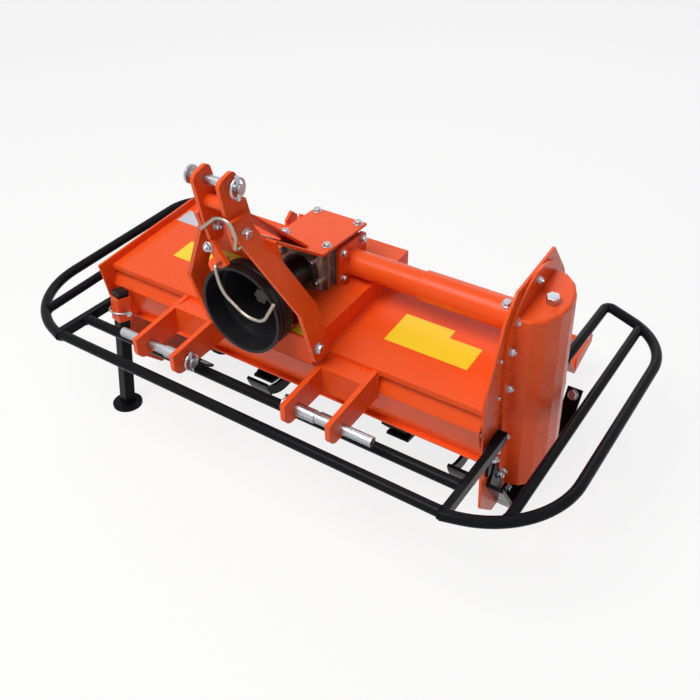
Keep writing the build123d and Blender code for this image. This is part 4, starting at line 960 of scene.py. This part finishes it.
class ROTAVATOR_OT_welds(bpy.types.Operator):
    """Weld beads of the guard, the cross tube, the hitch brackets, the bridge and the flap lug"""

    bl_idname = "rotavator.welds"
    bl_label = "Welds"

    root_depth: length("Root depth", "Bracket points this near the front beam are at its root", 0.004)
    root_least: length("Least root", "Shorter roots get no bead", 0.03)
    ring_steps: IntProperty(name="Ring steps", description="Straight runs round the tube", default=48, min=8)

    def guard(self, fixings):
        """Beads round both ends of the rails, which lie along X, and of the inner bars, along Y."""
        bars = {"guard_rail_front": 0, "guard_rail_inner": 0, "guard_bar_left": 1, "guard_bar_right": 1}
        beads = [
            bead(bar_end(node, axis, high_end), fixings, np.eye(3)[axis], "tube", closed=True)
            for node, axis in bars.items()
            for high_end in (False, True)
        ]
        add_piece("welds_guard", joined(beads), FINISHES["black_paint"], "frame")

    def cross_tube(self, fixings):
        """Rings where the tube meets its flange, its sleeve and the side plate."""
        points = vertices("drive_tube")
        reach = off_axis(points, DRIVE_MIDDLE)
        beads = []
        for step in levels(points[:, 0])[1:]:
            radius = reach[np.abs(points[:, 0] - step) < NEAR].min()
            circle = ring(at_x(DRIVE_MIDDLE, step), radius, full_turn(self.ring_steps))
            beads.append(bead(circle, fixings, RIGHT, "tube", closed=True))
        add_piece("welds_cross_tube", joined(beads), FINISHES["orange_paint"], "frame")

    def root_lines(self, node):
        """Lines of a bracket's points nearest the front beam, one for each of its upright faces."""
        points = vertices(node)
        points = points[points[:, 1] > corners("front_beam")[0][1] - self.root_depth]
        for x in levels(points[:, 0], 4):
            line = points[np.abs(points[:, 0] - x) < NEAR]
            if np.ptp(line[:, 2]) > self.root_least:
                yield line[np.argsort(line[:, 2])]

    def hitch(self, fixings):
        for name in SIDES:
            lines = self.root_lines(f"hitch_bracket_{name}")
            beads = [bead(line, fixings, RIGHT, "hitch") for line in lines]
            add_piece(f"welds_hitch_{name}", joined(beads), FINISHES["orange_paint"], "frame")

    def hood(self, fixings):
        """Beads along the bridge's feet on the hood, and beside the feet of the flap lug."""
        low, high = corners("gearbox_bridge")
        lines = [on_top(HOOD, x, [HOOD[0], high[1]]) for x in (low[0], high[0])]
        beads = [bead(line, fixings, RIGHT, "hood") for line in lines]
        beads.append(bead(on_top(HOOD, [low[0], high[0]], high[1]), fixings, REAR, "hood"))
        low, high = corners("flap_lug")
        lines = [on_top(HOOD, x, [low[1], high[1]]) for x in (low[0], high[0])]
        beads += [bead(line, fixings, RIGHT, "hood") for line in lines]
        add_piece("welds_hood", joined(beads), FINISHES["orange_paint"], "frame")

    def execute(self, context):
        fixings = context.scene.rotavator_fixings
        self.guard(fixings)
        self.cross_tube(fixings)
        self.hitch(fixings)
        self.hood(fixings)
        return {"FINISHED"}


class Plate(NamedTuple):
    """A blank plate on a sloping top: its finish and its edges, seen from above."""

    plane: tuple
    finish: str
    left: float
    right: float
    front: float
    rear: float
    columns: int


PLATES = {
    "plate_yellow_left": Plate(HOOD, "yellow_plate", -0.393, -0.300, -0.165, -0.097, 4),
    "plate_silver_left": Plate(HOOD, "silver_plate", -0.494, -0.402, -0.040, 0.010, 4),
    "plate_yellow_bridge": Plate(BRIDGE, "yellow_plate", 0.082, 0.122, -0.312, -0.256, 3),
}
STEPPED_PLATE = Plate(HOOD, "yellow_plate", 0.226, 0.424, -0.177, -0.081, 3)
STEP_PLACE = 0.347  # where the stepped plate gets shorter
STEP_REAR = -0.107  # rear edge of its shorter half
STEP_GAP = 0.0005  # run of the edge between its two halves
MAST_PLATE_LEFT, MAST_PLATE_RIGHT = -0.083, -0.026
MAST_PLATE_TOP = 0.580


class ROTAVATOR_OT_blank_plates(bpy.types.Operator):
    """Blank colour plates on the hood, the bridge and the mast's cross plate"""

    bl_idname = "rotavator.blank_plates"
    bl_label = "Blank plates"

    arch: length("Plate arch", "Round of the mast plate's lower edge", 0.0986)
    foot: length("Plate foot", "Mast plate above the cross plate's foot", 0.001)
    arch_points: IntProperty(name="Arch points", description="Points along that edge", default=12, min=2)
    lift: factor("Lift", "Film's middle off the surface, of its thickness", 0.6)

    def film(self, name, points, normal, finish, thickness):
        """Thin film over a grid of points, its middle a little off the surface along the normal."""
        rows, columns = points.shape[:2]
        points = points + normal * thickness * self.lift
        shape = points.reshape(-1, 3), quads(rows, columns, False)
        piece = add_piece(name, shape, FINISHES[finish], "frame", smooth=False)
        film = piece.modifiers.new("film", "SOLIDIFY")
        film.thickness = thickness
        film.offset = 0.0

    def between(self, front, rear, columns):
        """Columns, and three rows from the front edge to the rear edge in equal shares."""
        share = np.linspace(0, 1, 3)[:, None]
        return columns, (1 - share) * front + share * rear

    def stepped(self, thickness):
        """Plate whose rear edge steps forward at one place."""
        plate = STEPPED_PLATE
        long_half = np.linspace(plate.left, STEP_PLACE, plate.columns)
        long_half[-1] -= STEP_GAP
        short_half = np.linspace(STEP_PLACE, plate.right, plate.columns)
        columns = np.concatenate([long_half, short_half])
        rear = np.repeat([plate.rear, STEP_REAR], plate.columns)
        points = on_top(plate.plane, *self.between(plate.front, rear, columns))
        self.film("plate_yellow_right", points, UP, plate.finish, thickness)

    def mast(self, thickness):
        """Plate over the shield, its lower edge an arch about the shaft: z = axis + sqrt(r^2 - x^2)."""
        columns = np.linspace(MAST_PLATE_LEFT, MAST_PLATE_RIGHT, self.arch_points)
        arch = SHAFT_AXIS[2] + np.sqrt(self.arch ** 2 - columns ** 2)
        lower = np.maximum(arch, TIE[0] + self.foot)
        points = on_tie(*self.between(lower, MAST_PLATE_TOP, columns))
        self.film("plate_yellow_mast", points, -REAR, "yellow_plate", thickness)

    def execute(self, context):
        thickness = context.scene.rotavator_fixings.plate
        self.stepped(thickness)
        for name, plate in PLATES.items():
            columns = np.linspace(plate.left, plate.right, plate.columns)
            points = on_top(plate.plane, *self.between(plate.front, plate.rear, columns))
            self.film(name, points, UP, plate.finish, thickness)
        self.mast(thickness)
        return {"FINISHED"}


class Lamp(NamedTuple):
    """A round area lamp, named for the setting that holds its power."""

    place: tuple
    size: float
    colour: tuple


LAMPS = {
    "key": Lamp((-0.5, -1.9, 3.6), 2.4, (1.0, 0.98, 0.95)),
    "fill": Lamp((3.2, -1.0, 1.6), 2.0, (0.90, 0.95, 1.0)),
    "back": Lamp((-0.6, 3.0, 2.6), 1.8, (0.95, 0.97, 1.0)),
}
LAMP_AIM = Vector((0.0, 0.0, 0.35))
SKY_TURN = -0.4  # direction x past which the sky's light falls off
FLOOR_SHADES = ((0.92, 0.92, 0.92), (0.95, 0.95, 0.95))
CAMERA_REACH = 50.0


class ROTAVATOR_OT_stage(bpy.types.Operator):
    """Pale floor, soft lamps, sky and camera"""

    bl_idname = "rotavator.stage"
    bl_label = "Stage"

    def floor_finish(self, stage):
        """Pale matt floor, mixed with plain white where it is seen, and clear when looked at from below."""
        finish = Finish("pale_floor")
        finish.colour(finish.mixed(finish.noise(scale=0.8), *FLOOR_SHADES))
        finish.set(Roughness=0.9)
        glow = finish.node("ShaderNodeEmission")
        glow.inputs["Strength"].default_value = 1.0
        above = finish.node("ShaderNodeMixShader")
        white = finish.ranged(finish.seen(), 0.0, stage.floor_glow, start=0.0, end=1.0)
        finish.link(white, above.inputs["Fac"])
        finish.link(finish.shader.outputs["BSDF"], above.inputs[1])
        finish.link(glow.outputs["Emission"], above.inputs[2])
        both = finish.node("ShaderNodeMixShader")
        finish.link(finish.node("ShaderNodeNewGeometry").outputs["Backfacing"], both.inputs["Fac"])
        finish.link(above.outputs["Shader"], both.inputs[1])
        finish.link(finish.node("ShaderNodeBsdfTransparent").outputs["BSDF"], both.inputs[2])
        finish.link(both.outputs["Shader"], finish.tree.nodes["Material Output"].inputs["Surface"])
        return finish.material

    def floor(self, stage):
        """Flat grid just under the machine: (x, y, -drop)."""
        line = np.linspace(-stage.floor, stage.floor, stage.floor_rows)
        x, y = np.meshgrid(line, line)
        points = np.stack([x, y, np.full_like(x, -stage.floor_drop)], axis=-1).reshape(-1, 3)
        mesh = bpy.data.meshes.new("floor")
        mesh.from_pydata(points.tolist(), [], quads(stage.floor_rows, stage.floor_rows, False).tolist())
        mesh.materials.append(self.floor_finish(stage))
        floor = bpy.data.objects.new("floor", mesh)
        bpy.context.scene.collection.objects.link(floor)

    def lamps(self, stage):
        for name, lamp in LAMPS.items():
            light = bpy.data.lights.new(f"{name}_lamp", "AREA")
            light.shape = "DISK"
            light.size = lamp.size
            light.energy = getattr(stage, name)
            light.color = lamp.colour
            holder = bpy.data.objects.new(f"{name}_lamp", light)
            holder.location = lamp.place
            holder.rotation_euler = (LAMP_AIM - Vector(lamp.place)).to_track_quat("-Z", "Y").to_euler()
            bpy.context.scene.collection.objects.link(holder)

    def sky(self, stage):
        """White to the camera, in mirrors and through glass; else soft light, weaker from the drive side."""
        world = bpy.data.worlds.new("studio_sky")
        world.use_nodes = True
        bpy.context.scene.world = world
        graph = Graph(world.node_tree)
        direction = graph.node("ShaderNodeTexCoord").outputs["Generated"]
        across = graph.coordinate(direction, "X")
        soft = graph.ranged(across, stage.sky, stage.sky * stage.shade, start=SKY_TURN, end=1.0)
        strength = graph.ranged(graph.seen(), 0.0, 1.0, start=0.0, end=1.0)
        graph.link(soft, strength.node.inputs["To Min"])
        back = graph.tree.nodes["Background"]
        back.inputs["Color"].default_value = (1.0, 1.0, 1.0, 1.0)
        graph.link(strength, back.inputs["Strength"])

    def camera(self, stage):
        turn, rise = stage.azimuth, stage.elevation
        level = math.cos(rise)
        back = Vector((math.sin(turn) * level, -math.cos(turn) * level, math.sin(rise)))
        data = bpy.data.cameras.new("camera")
        data.sensor_width = stage.sensor
        data.lens = stage.lens
        data.clip_end = CAMERA_REACH
        camera = bpy.data.objects.new("camera", data)
        camera.location = Vector(stage.target) + back * stage.distance
        camera.rotation_euler = (-back).to_track_quat("-Z", "Y").to_euler()
        bpy.context.scene.collection.objects.link(camera)
        bpy.context.scene.camera = camera

    def execute(self, context):
        stage = context.scene.rotavator_stage
        context.scene.view_settings.view_transform = "Standard"
        self.floor(stage)
        self.lamps(stage)
        self.sky(stage)
        self.camera(stage)
        return {"FINISHED"}


class ROTAVATOR_PT_finish(bpy.types.Panel):
    """Lists the steps of the finish in the sidebar"""

    bl_idname = "ROTAVATOR_PT_finish"
    bl_label = "Rotavator finish"
    bl_space_type = "VIEW_3D"
    bl_region_type = "UI"
    bl_category = "Rotavator"

    def draw(self, context):
        for operator in OPERATORS:
            self.layout.operator(operator.bl_idname)


SETTINGS = {
    "rotavator_paint": RotavatorPaint,
    "rotavator_fixings": RotavatorFixings,
    "rotavator_stage": RotavatorStage,
}
OPERATORS = (
    ROTAVATOR_OT_paint,
    ROTAVATOR_OT_gearbox_bolts,
    ROTAVATOR_OT_mast_bolts,
    ROTAVATOR_OT_side_bolts,
    ROTAVATOR_OT_skid_toes,
    ROTAVATOR_OT_shield_band,
    ROTAVATOR_OT_tine_bolts,
    ROTAVATOR_OT_welds,
    ROTAVATOR_OT_blank_plates,
    ROTAVATOR_OT_stage,
)
CLASSES = (*SETTINGS.values(), *OPERATORS, ROTAVATOR_PT_finish)


def register():
    for cls in CLASSES:
        bpy.utils.register_class(cls)
    for name, cls in SETTINGS.items():
        setattr(bpy.types.Scene, name, PointerProperty(type=cls))


def unregister():
    for name in SETTINGS:
        delattr(bpy.types.Scene, name)
    for cls in reversed(CLASSES):
        bpy.utils.unregister_class(cls)


def main():
    """Run every step in order."""
    register()
    for operator in OPERATORS:
        group, call = operator.bl_idname.split(".")
        getattr(getattr(bpy.ops, group), call)()


if __name__ == "__main__":
    main()
